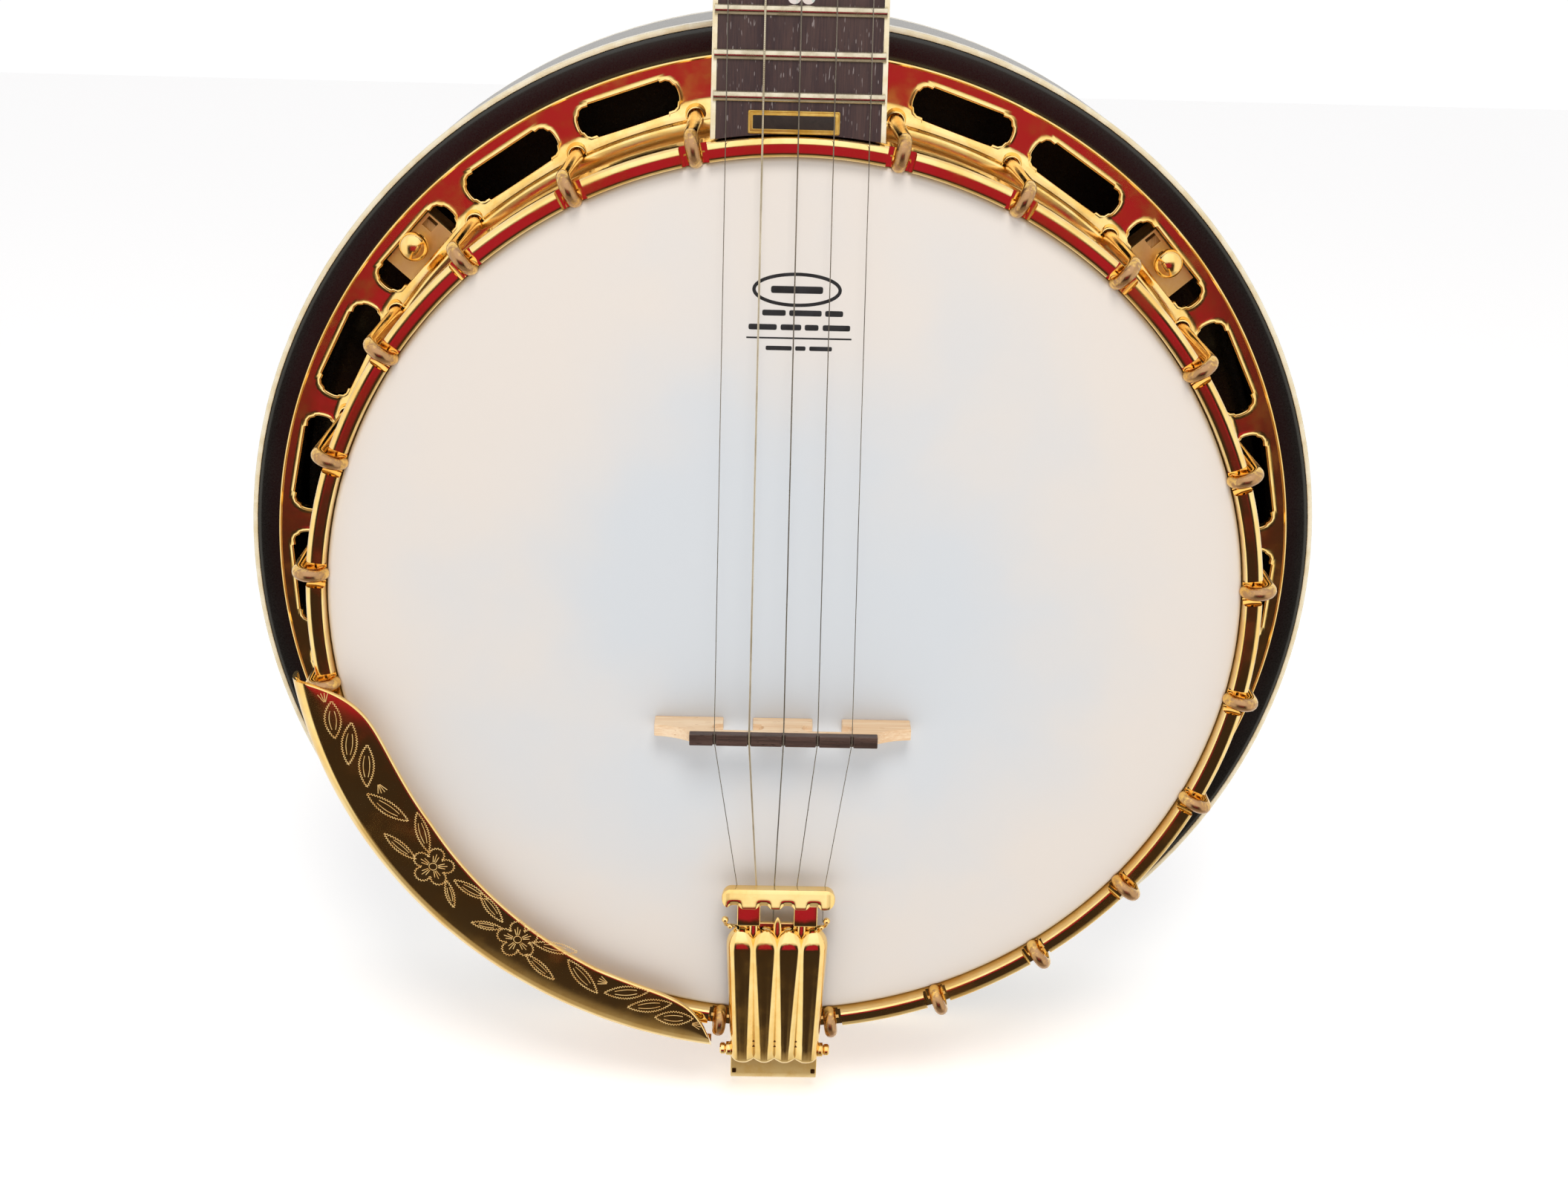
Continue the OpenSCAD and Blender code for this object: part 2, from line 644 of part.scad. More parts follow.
// Half width of the headstock at a distance from the nut
function headstock_half(t) =
  let (flare = min(1, t / 34), top = max(0, (t - headstock_l + 26) / 26))
  (nut_w / 2 + 18.5 * (3 * flare * flare - 2 * flare * flare * flare)
    + 2.6 * sin(t * 2.4 - 40)) * sqrt(1 - 0.86 * top * top);

module headstock_outline() polygon(concat(
  [for (t = [0 : 8 : headstock_l]) [headstock_half(t), t]],
  [for (t = [headstock_l : -8 : 0]) [-headstock_half(t), t]]
));

module neck() color([0.36, 0.16, 0.09]) difference() {
  union() {
    neck_frame() {
      heel();
      hull() {
        neck_section(shaft_v - 8, bass_x(shaft_v), treble_x(shaft_v), neck_depth + 0.4);
        neck_section(step_v, bass_x(step_v), treble_x(step_v), neck_depth - 0.6);
      }
      hull() {
        neck_section(step_v - 2, short_bass_x(step_v), treble_x(step_v), neck_depth - 0.6);
        neck_section(head_v - 2, short_bass_x(nut_v), treble_x(nut_v), neck_depth - 2.5);
      }
      box([nut_cx - nut_w / 2, nut_v - 12, -18], [nut_cx + nut_w / 2, head_v + 2, -board_t]);
    }
    head_frame() translate([0, 0, -overlay_t - headstock_t]) linear_extrude(headstock_t) headstock_outline();
  }
  pot_clearance();
  for (z = rod_zs) rod_y(130, heel_v - 2, 0, z, bolt_r + fit);
  neck_frame() box([-2.8, 165, -13.4], [2.8, head_v + 28, -board_t + 1]);
  neck_frame() rod_x(-40, -2.9, peg_v, peg_w, 4.2 + fit);
  neck_frame() box([nut_cx - nut_w, nut_v - 5, -board_t], [nut_cx + nut_w, head_v + 0.02, 10]);
  head_frame() {
    for (p = posts) translate([p[0], p[1], -30]) cylinder(r = 5, h = 40, $fn = 48);
    box([-40, -20, -overlay_t], [40, headstock_l + 10, 30]);
  }
}

module heel_cap() color("ivory") difference() {
  neck_frame() translate([0, 0, -heel_depth - cap_t]) linear_extrude(cap_t - 0.05) {
    translate([-17, 130]) square([34, heel_v - 130 - 8]);
    translate([0, heel_v - 8]) intersection() {
      scale([1, 0.47]) circle(r = 17);
      translate([-17, 0]) square([34, 20]);
    }
  }
  pot_clearance();
  rod_y(120, heel_v, 0, rod_zs[0], bolt_r + fit);
}

function board_outline(inset, v_end) = [
  [treble_x(130) - inset, 130], [treble_x(v_end) - inset, v_end], [short_bass_x(v_end) + inset, v_end],
  [short_bass_x(step_v) + inset, step_v], [bass_x(step_v) + inset, step_v - inset], [bass_x(130) + inset, 130]
];

// A pearl flower: a round middle with petals, the same in the inlay and in its pocket
module flower(r, petals, depth) {
  cylinder(r = r * 0.42, h = depth, $fn = 32);
  for (k = [0 : petals - 1]) rotate([0, 0, 360 * k / petals + 90])
    translate([r * 0.62, 0, 0]) cylinder(r = r * 0.36, h = depth, $fn = 32);
}

marker_spaces = [3, 5, 7, 10, 12, 15, 17, 20];

function fret_place(n) = nut_v - scale_length * fret_share(n);

module inlay_places(depth) neck_frame() for (n = marker_spaces) {
  v = (fret_place(n) + fret_place(n - 1)) / 2;
  x = (left_x(v) + treble_x(v)) / 2;
  size = min(8.4, (fret_place(n - 1) - fret_place(n)) * 0.42);
  translate([x, v, -depth]) flower(size, n == 12 ? 6 : 5, depth);
}

module fingerboard() color([0.22, 0.13, 0.11]) difference() {
  neck_frame() translate([0, 0, -board_t]) linear_extrude(board_t) polygon(board_outline(binding_t, nut_v));
  pot_clearance();
  translate([0, 0, 0.01]) inlay_places(0.62);
}

module fingerboard_binding() color("ivory") difference() {
  neck_frame() translate([0, 0, -board_t]) linear_extrude(board_t - 0.02) difference() {
    polygon(board_outline(0, nut_v));
    polygon(board_outline(binding_t - 0.02, nut_v + 5));
  }
  pot_clearance();
}

module frets() color("silver") neck_frame() for (n = [1 : fret_count]) {
  v = fret_place(n);
  x0 = (n <= 5 ? short_bass_x(v) : bass_x(v)) + 0.6;
  intersection() {
    rod_x(x0, treble_x(v) - 0.6, v, fret_h - fret_r, fret_r);
    box([-60, v - 5, 0.02], [60, v + 5, 5]);
  }
}

module fret_inlays() color("lightcyan") inlay_places(0.6);

module label_plate() color("gold") neck_frame() box([-14, 146.6, 0.02], [11.5, 152.9, 0.42]);

// A slot in the nut, which turns towards its string's post
module nut_slot(i) {
  half = 0.4;
  turn = (tangent_u(i) + nut_cx - nut_x[i]) * (nut_t + 1) / (posts[i][1] + nut_t);
  polygon([
    [nut_x[i] - half, nut_v - 1], [nut_x[i] + half, nut_v - 1],
    [nut_x[i] + half + turn, head_v + 1], [nut_x[i] - half + turn, head_v + 1]
  ]);
}

module nut() color("ivory") neck_frame() difference() {
  box([nut_cx - nut_w / 2, nut_v + 0.02, -board_t], [nut_cx + nut_w / 2, head_v, 1.5]);
  for (i = [0 : 3]) translate([0, 0, 0.2]) linear_extrude(3) nut_slot(i);
}

module fifth_string_nut() color("ivory") neck_frame() difference() {
  translate([nut_x[4], step_v - 3.5, 0.02]) cylinder(r = 1.4, h = 1.9, $fn = 32);
  box([nut_x[4] - 0.25, step_v - 8, 0.9], [nut_x[4] + 0.25, step_v + 2, 3]);
}

module truss_rod() color("silver") neck_frame() {
  rod_y(168, head_v + 8, 0, -10.4, 2.4);
  translate([0, head_v + 15.9, -10.4]) rotate([90, 0, 0]) cylinder(r = 2.75, h = 8, $fn = 6);
}

// ---------- headstock ----------

module peghead_overlay() color([0.05, 0.04, 0.04]) head_frame() difference() {
  translate([0, 0, -overlay_t + 0.02]) linear_extrude(overlay_t - 0.02) intersection() {
    headstock_outline();
    translate([-50, 0.4]) square([100, 200]);
  }
  for (p = posts) translate([p[0], p[1], -5]) cylinder(r = 5, h = 10, $fn = 48);
  box([-6.6, -1, -3], [-1, 22, 3]);
}

module cover_outline() polygon([[-9.5, 2], [9.5, 2], [8, 14], [5, 24], [0, 30], [-5, 24], [-8, 14]]);

module cover_screw_places() for (p = [[-7.2, 5], [7.2, 5], [0, 26]])
  translate([p[0], p[1], 0]) children();

module truss_rod_cover() color("ivory") head_frame() difference() {
  translate([0, 0, 0.05]) linear_extrude(1.6) cover_outline();
  cover_screw_places() translate([0, 0, -1]) cylinder(r = 0.95, h = 5, $fn = 32);
}

module truss_cover_screws() color("silver") head_frame() cover_screw_places() {
  translate([0, 0, 0.1]) cylinder(r = 0.9, h = 1.7, $fn = 32);
  translate([0, 0, 1.7]) cylinder(r = 1.5, h = 0.4, $fn = 32);
}

// ---------- tuners ----------

housing_top = -overlay_t - headstock_t - 0.1;
housing_foot = housing_top - 12;
post_foot = housing_top - 5;

module tuner_housings() color("silver") head_frame() for (p = posts) translate([p[0], p[1], 0]) difference() {
  union() {
    translate([0, 0, housing_foot]) cylinder(r = housing_r, h = 12);
    translate([0, 0, housing_foot - 1.6]) cylinder(r = 6.2, h = 2);
    translate([0, 0, housing_top - 0.5]) cylinder(r = 4.9, h = -housing_top + 2.4);
    translate([0, 0, 0.1]) cylinder(r = 7, h = 2.2, $fn = 6);
  }
  translate([0, 0, post_foot - 0.6]) cylinder(r = post_r + fit, h = 60, $fn = 48);
  translate([0, 0, housing_foot - 5]) cylinder(r = 3 + fit, h = 10.4, $fn = 48);
}

module tuner_post(i) color("silver") head_frame() translate([posts[i][0], posts[i][1], 0]) difference() {
  union() {
    translate([0, 0, post_foot]) cylinder(r = post_r, h = 18.4 - post_foot, $fn = 48);
    translate([0, 0, wound_s - 1.9]) cylinder(r = wound_r, h = 3.8, $fn = 48);
    translate([0, 0, 14.6]) cylinder(r = post_r + 0.4, h = 4.4, $fn = 48);
  }
  rod_x(-10, 10, 0, 11.6, 0.8);
}

module knob_outline() {
  intersection() {
    circle(r = knob_r);
    square([knob_r * 1.7, knob_r * 3], center = true);
  }
}

module tuner_knob(i) color("ivory") head_frame() translate([posts[i][0], posts[i][1], 0]) {
  translate([0, 0, housing_foot - 4]) cylinder(r = 3, h = 9, $fn = 48);
  translate([0, 0, housing_foot - 16]) linear_extrude(12.5) knob_outline();
}

// ---------- fifth-string peg ----------

module fifth_peg_housing() color("silver") neck_frame() difference() {
  rod_x(-16.6, -3.4, peg_v, peg_w, 4.2);
  rod_x(-20, -5, peg_v, peg_w, 2.6 + fit);
}

module fifth_peg_post() color("silver") neck_frame() difference() {
  union() {
    rod_x(-25.4, -5.4, peg_v, peg_w, 2.6);
    rod_x(-23.4, -17.4, peg_v, peg_w, wound_r - 0.2);
  }
  rod_x(-30, -22, peg_v, peg_w, 1.2 + fit);
}

module fifth_peg_knob() color("ivory") neck_frame() {
  rod_x(-26, -22.4, peg_v, peg_w, 1.2);
  rod_x(-30, -25.7, peg_v, peg_w, 5);
  translate([-42, peg_v, peg_w]) rotate([0, 90, 0]) linear_extrude(12.5) knob_outline();
}

// ---------- nodes ----------

upright() rim();
upright() tone_ring();
upright() flange();
upright() head_skin();
upright() flesh_hoop();
upright() tension_hoop();
upright() bracket_hooks();
upright() bracket_nuts();
upright() coordinator_rod(rod_zs[0]);  // lower_coordinator_rod
upright() coordinator_rod(rod_zs[1]);  // upper_coordinator_rod
upright() coordinator_nuts();
upright() neck_lag_bolts();
upright() tailpiece_bracket();
upright() tailpiece_base();
upright() tailpiece_lid();
upright() tailpiece_hinge_pin();
upright() tailpiece_tension_screw();
upright() armrest();
upright() armrest_clamps();
upright() bridge();
upright() bridge_cap();
for (i = [0 : 4]) upright() string(i);
upright() resonator_shell();
upright() resonator_bindings();
upright() resonator_lugs();
upright() flange_brackets();
for (i = [0 : 3]) upright() resonator_screw(i);
upright() neck();
upright() heel_cap();
upright() fingerboard();
upright() fingerboard_binding();
upright() frets();
upright() fret_inlays();
upright() label_plate();
upright() nut();
upright() fifth_string_nut();
upright() truss_rod();
upright() peghead_overlay();
upright() truss_rod_cover();
upright() truss_cover_screws();
upright() tuner_housings();
for (i = [0 : 3]) upright() tuner_post(i);
for (i = [0 : 3]) upright() tuner_knob(i);
upright() fifth_peg_housing();
upright() fifth_peg_post();
upright() fifth_peg_knob();
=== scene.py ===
"""A five-string resonator banjo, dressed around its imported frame.

Sizes are millimetres in the drawing frame: X across the strings, Y up the neck, H towards the strings from
the middle of the resonator's back. to_row() turns them into metres in the row frame, where the banjo stands
upright.
"""

import json
import logging
import math
from abc import ABC, abstractmethod
from dataclasses import dataclass
from enum import Enum

import bmesh
import bpy
import numpy as np
from mathutils import Matrix

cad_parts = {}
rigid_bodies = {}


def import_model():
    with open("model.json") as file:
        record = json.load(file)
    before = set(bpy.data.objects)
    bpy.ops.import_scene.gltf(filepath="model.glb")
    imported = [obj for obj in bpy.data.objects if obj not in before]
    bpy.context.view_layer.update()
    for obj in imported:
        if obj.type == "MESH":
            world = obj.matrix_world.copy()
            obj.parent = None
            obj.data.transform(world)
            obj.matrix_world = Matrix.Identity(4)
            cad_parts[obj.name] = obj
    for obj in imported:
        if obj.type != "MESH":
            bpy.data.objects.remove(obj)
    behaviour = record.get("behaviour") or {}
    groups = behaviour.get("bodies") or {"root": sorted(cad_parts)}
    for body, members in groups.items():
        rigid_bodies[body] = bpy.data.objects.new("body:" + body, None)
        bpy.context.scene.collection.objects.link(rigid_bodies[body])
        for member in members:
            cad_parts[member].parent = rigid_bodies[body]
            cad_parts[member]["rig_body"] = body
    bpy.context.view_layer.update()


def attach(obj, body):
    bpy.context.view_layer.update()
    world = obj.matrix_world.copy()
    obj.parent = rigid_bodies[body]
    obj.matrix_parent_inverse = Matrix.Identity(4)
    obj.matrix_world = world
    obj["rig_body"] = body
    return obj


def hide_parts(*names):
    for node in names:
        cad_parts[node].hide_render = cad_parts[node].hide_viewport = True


LOG = logging.getLogger("banjo")
Array = np.ndarray
Point = tuple[float, float, float]

MM = 0.001
WELD = 2e-6
HEAD_R = 139.7
HOOP_R = 146.0
HOOP_TOP = 106.0
HEAD_TOP = 102.35
HOOK_R = 148.4
HOOK_COUNT = 24
NECK_HOOK_ANGLE = 11.65
FLANGE_H = 57.5
RESONATOR_R = 174.5
RESONATOR_H = 54.2
SCREW_R = 156.2
SCREW_WINDOWS = (2, 8, 14, 20)
SCALE_LENGTH = 666.75
BOARD_TILT = 2.6
BOARD_Z0 = 104.0 + 150.0 * math.tan(math.radians(BOARD_TILT))
NUT_V = 156.4 / math.cos(math.radians(BOARD_TILT)) + SCALE_LENGTH * (1 - 2 ** (-22 / 12))
NUT_T = 4.8
NUT_CX = 3.8
POSTS = ((22.0, 42.0), (20.0, 104.0), (-20.0, 104.0), (-22.0, 42.0))
STRING_R = (0.127, 0.152, 0.203, 0.29, 0.127)
TAIL_X = (14.6, 5.7, -1.4, -7.0, -13.0)
BRIDGE_X = (21.3, 10.7, 0.2, -10.4, -21.1)
NUT_X = (16.0, 7.8, -0.4, -8.6, -18.5)
BAR_Y = -92.6
PIN_Y = -151.5
PIN_Z = 108.0

HOOK_PITCH = (360 - 2 * NECK_HOOK_ANGLE) / (HOOK_COUNT - 1)
HOOK_ANGLES = 90 + NECK_HOOK_ANGLE + HOOK_PITCH * np.arange(HOOK_COUNT)
WINDOW_ANGLES = HOOK_ANGLES[:-1] + HOOK_PITCH / 2


# ---------- shapes ----------


def to_row(points: Array) -> Array:
    """Drawing millimetres to row metres: (x, y, h) becomes (x, -h, y) / 1000."""
    return np.stack([points[..., 0], -points[..., 2], points[..., 1]], axis=-1) * MM


def polar(radius: Array, angle_deg: Array, height: Array) -> Array:
    """Points at a radius and angle round the pot's middle, at a height. The three arrays are broadcast
    together."""
    radius, angle, height = np.broadcast_arrays(radius, np.radians(angle_deg), height)
    return np.stack([radius * np.cos(angle), radius * np.sin(angle), height], axis=-1)


def rounded(corners: Array, reach: float | Array, steps: int = 4) -> Array:
    """A closed outline whose corners are eased: each corner P gives a quadratic curve that leaves one side a
    distance `reach` before P, is pulled by P, and joins the other side the same distance after it.

    Args:
        corners: The outline's corners, two columns.
        reach: How far the easing goes along each side, one number or one for each corner.
        steps: Number of pieces in each curve.

    Returns:
        The eased outline, with steps + 1 points for each corner.
    """
    corners = np.asarray(corners, float)
    reach = np.broadcast_to(np.asarray(reach, float), len(corners))[:, None]
    back = np.roll(corners, 1, 0) - corners
    ahead = np.roll(corners, -1, 0) - corners
    start = corners + back / np.linalg.norm(back, axis=1, keepdims=True) * reach
    end = corners + ahead / np.linalg.norm(ahead, axis=1, keepdims=True) * reach
    t = np.linspace(0, 1, steps + 1)[None, :, None]
    curve = (1 - t) ** 2 * start[:, None] + 2 * t * (1 - t) * corners[:, None] + t**2 * end[:, None]
    return curve.reshape(-1, 2)


def unit(v: Array) -> Array:
    """Vectors along the last axis, at length one."""
    return v / np.maximum(np.linalg.norm(v, axis=-1, keepdims=True), 1e-12)


@dataclass(frozen=True)
class Place:
    """A frame to draw in: tilted back about X, then shifted, inside another frame or the drawing itself."""

    origin: Point = (0.0, 0.0, 0.0)
    tilt_deg: float = 0.0
    inside: "Place | None" = None

    def out(self, p: Array) -> Array:
        """Turns points back by the tilt, (y, z) to (y cos t + z sin t, z cos t - y sin t), and adds the
        origin.

        Args:
            p: Points in this frame.

        Returns:
            The same points in the drawing frame.
        """
        c, s = math.cos(math.radians(self.tilt_deg)), math.sin(math.radians(self.tilt_deg))
        turned = np.stack([p[..., 0], p[..., 1] * c + p[..., 2] * s, p[..., 2] * c - p[..., 1] * s], axis=-1)
        moved = turned + np.array(self.origin)
        return moved if self.inside is None else self.inside.out(moved)


POT = Place()
NECK = Place((0.0, 0.0, BOARD_Z0), BOARD_TILT)
HEADSTOCK = Place((NUT_CX, NUT_V + NUT_T, -1.5), 14.0, NECK)


class Draft:
    """Gathers surface grids and flat caps in one place's millimetres, then makes one welded mesh of them."""

    def __init__(self, place: Place = POT) -> None:
        """Starts an empty draft.

        Args:
            place: The frame that the points are given in.
        """
        self.place = place
        self.points: list[Array] = []
        self.faces: list[list[int]] = []
        self.count = 0

    def _keep(self, points: Array, faces: list[list[int]]) -> "Draft":
        """Stores points and the faces that already count from this draft's points."""
        self.points.append(self.place.out(np.asarray(points, float)))
        self.faces.extend(faces)
        self.count += len(points)
        return self

    def grid(self, p: Array, round_u: bool = False, round_v: bool = False) -> "Draft":
        """Adds a quad between each four neighbours of a grid of points.

        Args:
            p: Points with a row for each step of the first parameter and a column for each of the second.
            round_u: True if the last row joins the first.
            round_v: True if the last column joins the first.

        Returns:
            This draft.
        """
        rows, columns = p.shape[:2]
        index = np.arange(rows * columns).reshape(rows, columns) + self.count
        if round_u:
            index = np.concatenate([index, index[:1]])
        if round_v:
            index = np.concatenate([index, index[:, :1]], axis=1)
        quads = np.stack([index[:-1, :-1], index[1:, :-1], index[1:, 1:], index[:-1, 1:]], axis=-1)
        return self._keep(p.reshape(-1, 3), quads.reshape(-1, 4).tolist())

    def cap(self, ring: Array) -> "Draft":
        """Adds one flat face round a ring of points."""
        return self._keep(ring, [(np.arange(len(ring)) + self.count).tolist()])

    def loft(self, rings: Array) -> "Draft":
        """Adds a closed skin over a stack of closed rings, with a flat cap on the first and the last."""
        return self.grid(rings, round_v=True).cap(rings[0]).cap(rings[-1])

    def prism(self, outline: Array, low: float, high: float, edge: float,
              axes: tuple[int, int, int] = (0, 1, 2)) -> "Draft":
        """Adds a plate with rounded edges: copies of its outline stand between low and high, and near both
        faces each is drawn in along its normals by a quarter circle.

        Args:
            outline: The plate's closed outline, two columns.
            low: Where the plate starts.
            high: Where it ends.
            edge: Radius of its rounded edges.
            axes: Which axis the outline's two columns and the thickness lie along.

        Returns:
            This draft.
        """
        along = np.roll(outline, -1, 0) - np.roll(outline, 1, 0)
        turn = np.sign(np.sum(outline[:, 0] * np.roll(outline[:, 1], -1)
                              - outline[:, 1] * np.roll(outline[:, 0], -1)))
        inward = unit(np.stack([-along[:, 1], along[:, 0]], axis=-1)) * turn
        bend = np.radians(np.linspace(0, 90, 4))
        draw_in = edge * np.concatenate([1 - np.sin(bend), 1 - np.cos(bend)])
        level = np.concatenate([low + edge * (1 - np.cos(bend)), high - edge * (1 - np.sin(bend))])
        rings = np.zeros((len(level), len(outline), 3))
        rings[..., axes[0]] = outline[:, 0] + draw_in[:, None] * inward[:, 0]
        rings[..., axes[1]] = outline[:, 1] + draw_in[:, None] * inward[:, 1]
        rings[..., axes[2]] = level[:, None]
        return self.loft(rings)

    def turned(self, profile: Array, centre: Point = (0.0, 0.0, 0.0), axis: int = 2, steps: int = 48,
               ring: bool = False, squeeze: tuple[float, float] = (1.0, 1.0)) -> "Draft":
        """Adds a profile of radius and height turned round an axis.

        Args:
            profile: Radius and height of each point, from one end to the other.
            centre: Where the axis passes and heights start.
            axis: 0, 1 or 2 for an axis along X, Y or Z.
            steps: Number of copies round the turn.
            ring: True if the profile is a closed loop.
            squeeze: Shares that flatten the round section across its first and second direction.

        Returns:
            This draft.
        """
        angle = np.arange(steps) * (2 * math.pi / steps)
        p = np.zeros((len(profile), steps, 3))
        p[..., (axis + 1) % 3] = profile[:, :1] * np.cos(angle) * squeeze[0]
        p[..., (axis + 2) % 3] = profile[:, :1] * np.sin(angle) * squeeze[1]
        p[..., axis] = profile[:, 1:2]
        self.grid(p + np.array(centre), round_u=ring, round_v=True)
        if not ring:
            for end in (0, -1):
                if profile[end, 0] > 1e-6:
                    self.cap(p[end] + np.array(centre))
        return self

    def tube(self, path: Array, radius: float | Array, up: Point, sides: int = 10, flat: float = 1.0,
             loop: bool = False) -> "Draft":
        """Adds a round rod along a path: at each point a circle stands square to the path's direction,
        measured from the side vector direction x up and the vector square to both.

        Args:
            path: The points that the rod's middle follows.
            radius: Its radius, one number or one for each point.
            up: A direction that the path never takes.
            sides: Number of sides.
            flat: Share of the radius that the rod has along up.
            loop: True if the path's end joins its start.

        Returns:
            This draft.
        """
        ahead = np.roll(path, -1, 0) - np.roll(path, 1, 0) if loop else np.gradient(path, axis=0)
        side = unit(np.cross(unit(ahead), np.array(up)))
        rise = unit(np.cross(side, ahead))
        angle = np.arange(sides) * (2 * math.pi / sides)
        reach = np.broadcast_to(np.asarray(radius, float), len(path))[:, None, None]
        rings = path[:, None] + reach * (np.cos(angle)[None, :, None] * side[:, None]
                                         + flat * np.sin(angle)[None, :, None] * rise[:, None])
        if loop:
            return self.grid(rings, round_u=True, round_v=True)
        return self.loft(rings)

    def piece(self, name: str, finish: "Finish", replaces: tuple[str, ...] = (), body: str = "",
              sharp_deg: float = 38.0) -> bpy.types.Object:
        """Makes the object: welds what meets, turns faces outwards, and shades smooth up to an angle.

        Args:
            name: The piece's name.
            finish: What it is made of.
            replaces: The CAD nodes that it stands for.
            body: The CAD body that it rides on, if it isn't that of the first node it stands for.
            sharp_deg: Edges that bend more than this stay sharp.

        Returns:
            The new object.
        """
        mesh = bpy.data.meshes.new(name)
        mesh.from_pydata(to_row(np.concatenate(self.points)).tolist(), [], self.faces)
        tidy_mesh(mesh, WELD)
        return show(mesh, name, finish, replaces, body, sharp_deg)


def tidy_mesh(mesh: bpy.types.Mesh, distance: float, dissolve_deg: float = 0.0) -> None:
    """Welds a mesh's doubled points, may join faces that lie in one plane, and turns its faces outwards.

    Args:
        mesh: The mesh that is changed.
        distance: Points closer than this, in metres, become one.
        dissolve_deg: Faces that bend less than this are joined; 0 leaves them.
    """
    draft = bmesh.new()
    draft.from_mesh(mesh)
    bmesh.ops.remove_doubles(draft, verts=draft.verts, dist=distance)
    if dissolve_deg:
        bmesh.ops.dissolve_limit(draft, angle_limit=math.radians(dissolve_deg), verts=draft.verts,
                                 edges=draft.edges)
    bmesh.ops.recalc_face_normals(draft, faces=draft.faces)
    draft.to_mesh(mesh)
    draft.free()


def show(mesh: bpy.types.Mesh, name: str, finish: "Finish", replaces: tuple[str, ...], body: str,
         sharp_deg: float) -> bpy.types.Object:
    """Puts a finished mesh into the scene as a piece, dressed and riding on its body.

    Args:
        mesh: The finished mesh, with its place in its points.
        name: The piece's name.
        finish: What it is made of.
        replaces: The CAD nodes that it stands for.
        body: The CAD body that it rides on, or "" for that of the first node it stands for.
        sharp_deg: Edges that bend more than this stay sharp.

    Returns:
        The new object.
    """
    mesh.shade_smooth()
    mesh.set_sharp_from_angle(angle=math.radians(sharp_deg))
    piece = bpy.data.objects.new(name, mesh)
    bpy.context.scene.collection.objects.link(piece)
    finish.dress(piece)
    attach(piece, body or bpy.data.objects[replaces[0]]["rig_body"])
    if replaces:
        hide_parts(*replaces)
    LOG.info("%s: %d faces", name, len(mesh.polygons))
    return piece


def eased_copy(node: str, name: str, finish: "Finish", width: float, segments: int = 2,
               sharp_deg: float = 38.0) -> bpy.types.Object:
    """Stands a copy of a CAD node in its place, welded, with its flat faces whole and its edges eased.

    Args:
        node: The CAD node.
        name: The new piece's name.
        finish: What it is made of.
        width: Width of the eased edges, or 0 for none.
        segments: Number of strips across each eased edge.
        sharp_deg: Edges that bend more than this are eased.

    Returns:
        The new object.
    """
    mesh = bpy.data.objects[node].data.copy()
    mesh.name = name
    mesh.materials.clear()
    tidy_mesh(mesh, 1e-5, 0.4)
    if "custom_normal" in mesh.attributes:
        mesh.attributes.remove(mesh.attributes["custom_normal"])
    piece = show(mesh, name, finish, (node,), "", sharp_deg)
    if width:
        bevel = piece.modifiers.new("eased", "BEVEL")
        bevel.width = width * MM
        bevel.segments = segments
        bevel.limit_method = "ANGLE"
        bevel.angle_limit = math.radians(sharp_deg)
        bevel.harden_normals = True
    return piece


# ---------- finishes ----------


def linear(hex_colour: str) -> tuple[float, float, float, float]:
    """An sRGB hex colour as linear red, green, blue and alpha, by the sRGB curve."""
    share = np.array([int(hex_colour[i:i + 2], 16) for i in (1, 3, 5)]) / 255
    value = np.where(share <= 0.04045, share / 12.92, ((share + 0.055) / 1.055) ** 2.4)
    return (float(value[0]), float(value[1]), float(value[2]), 1.0)


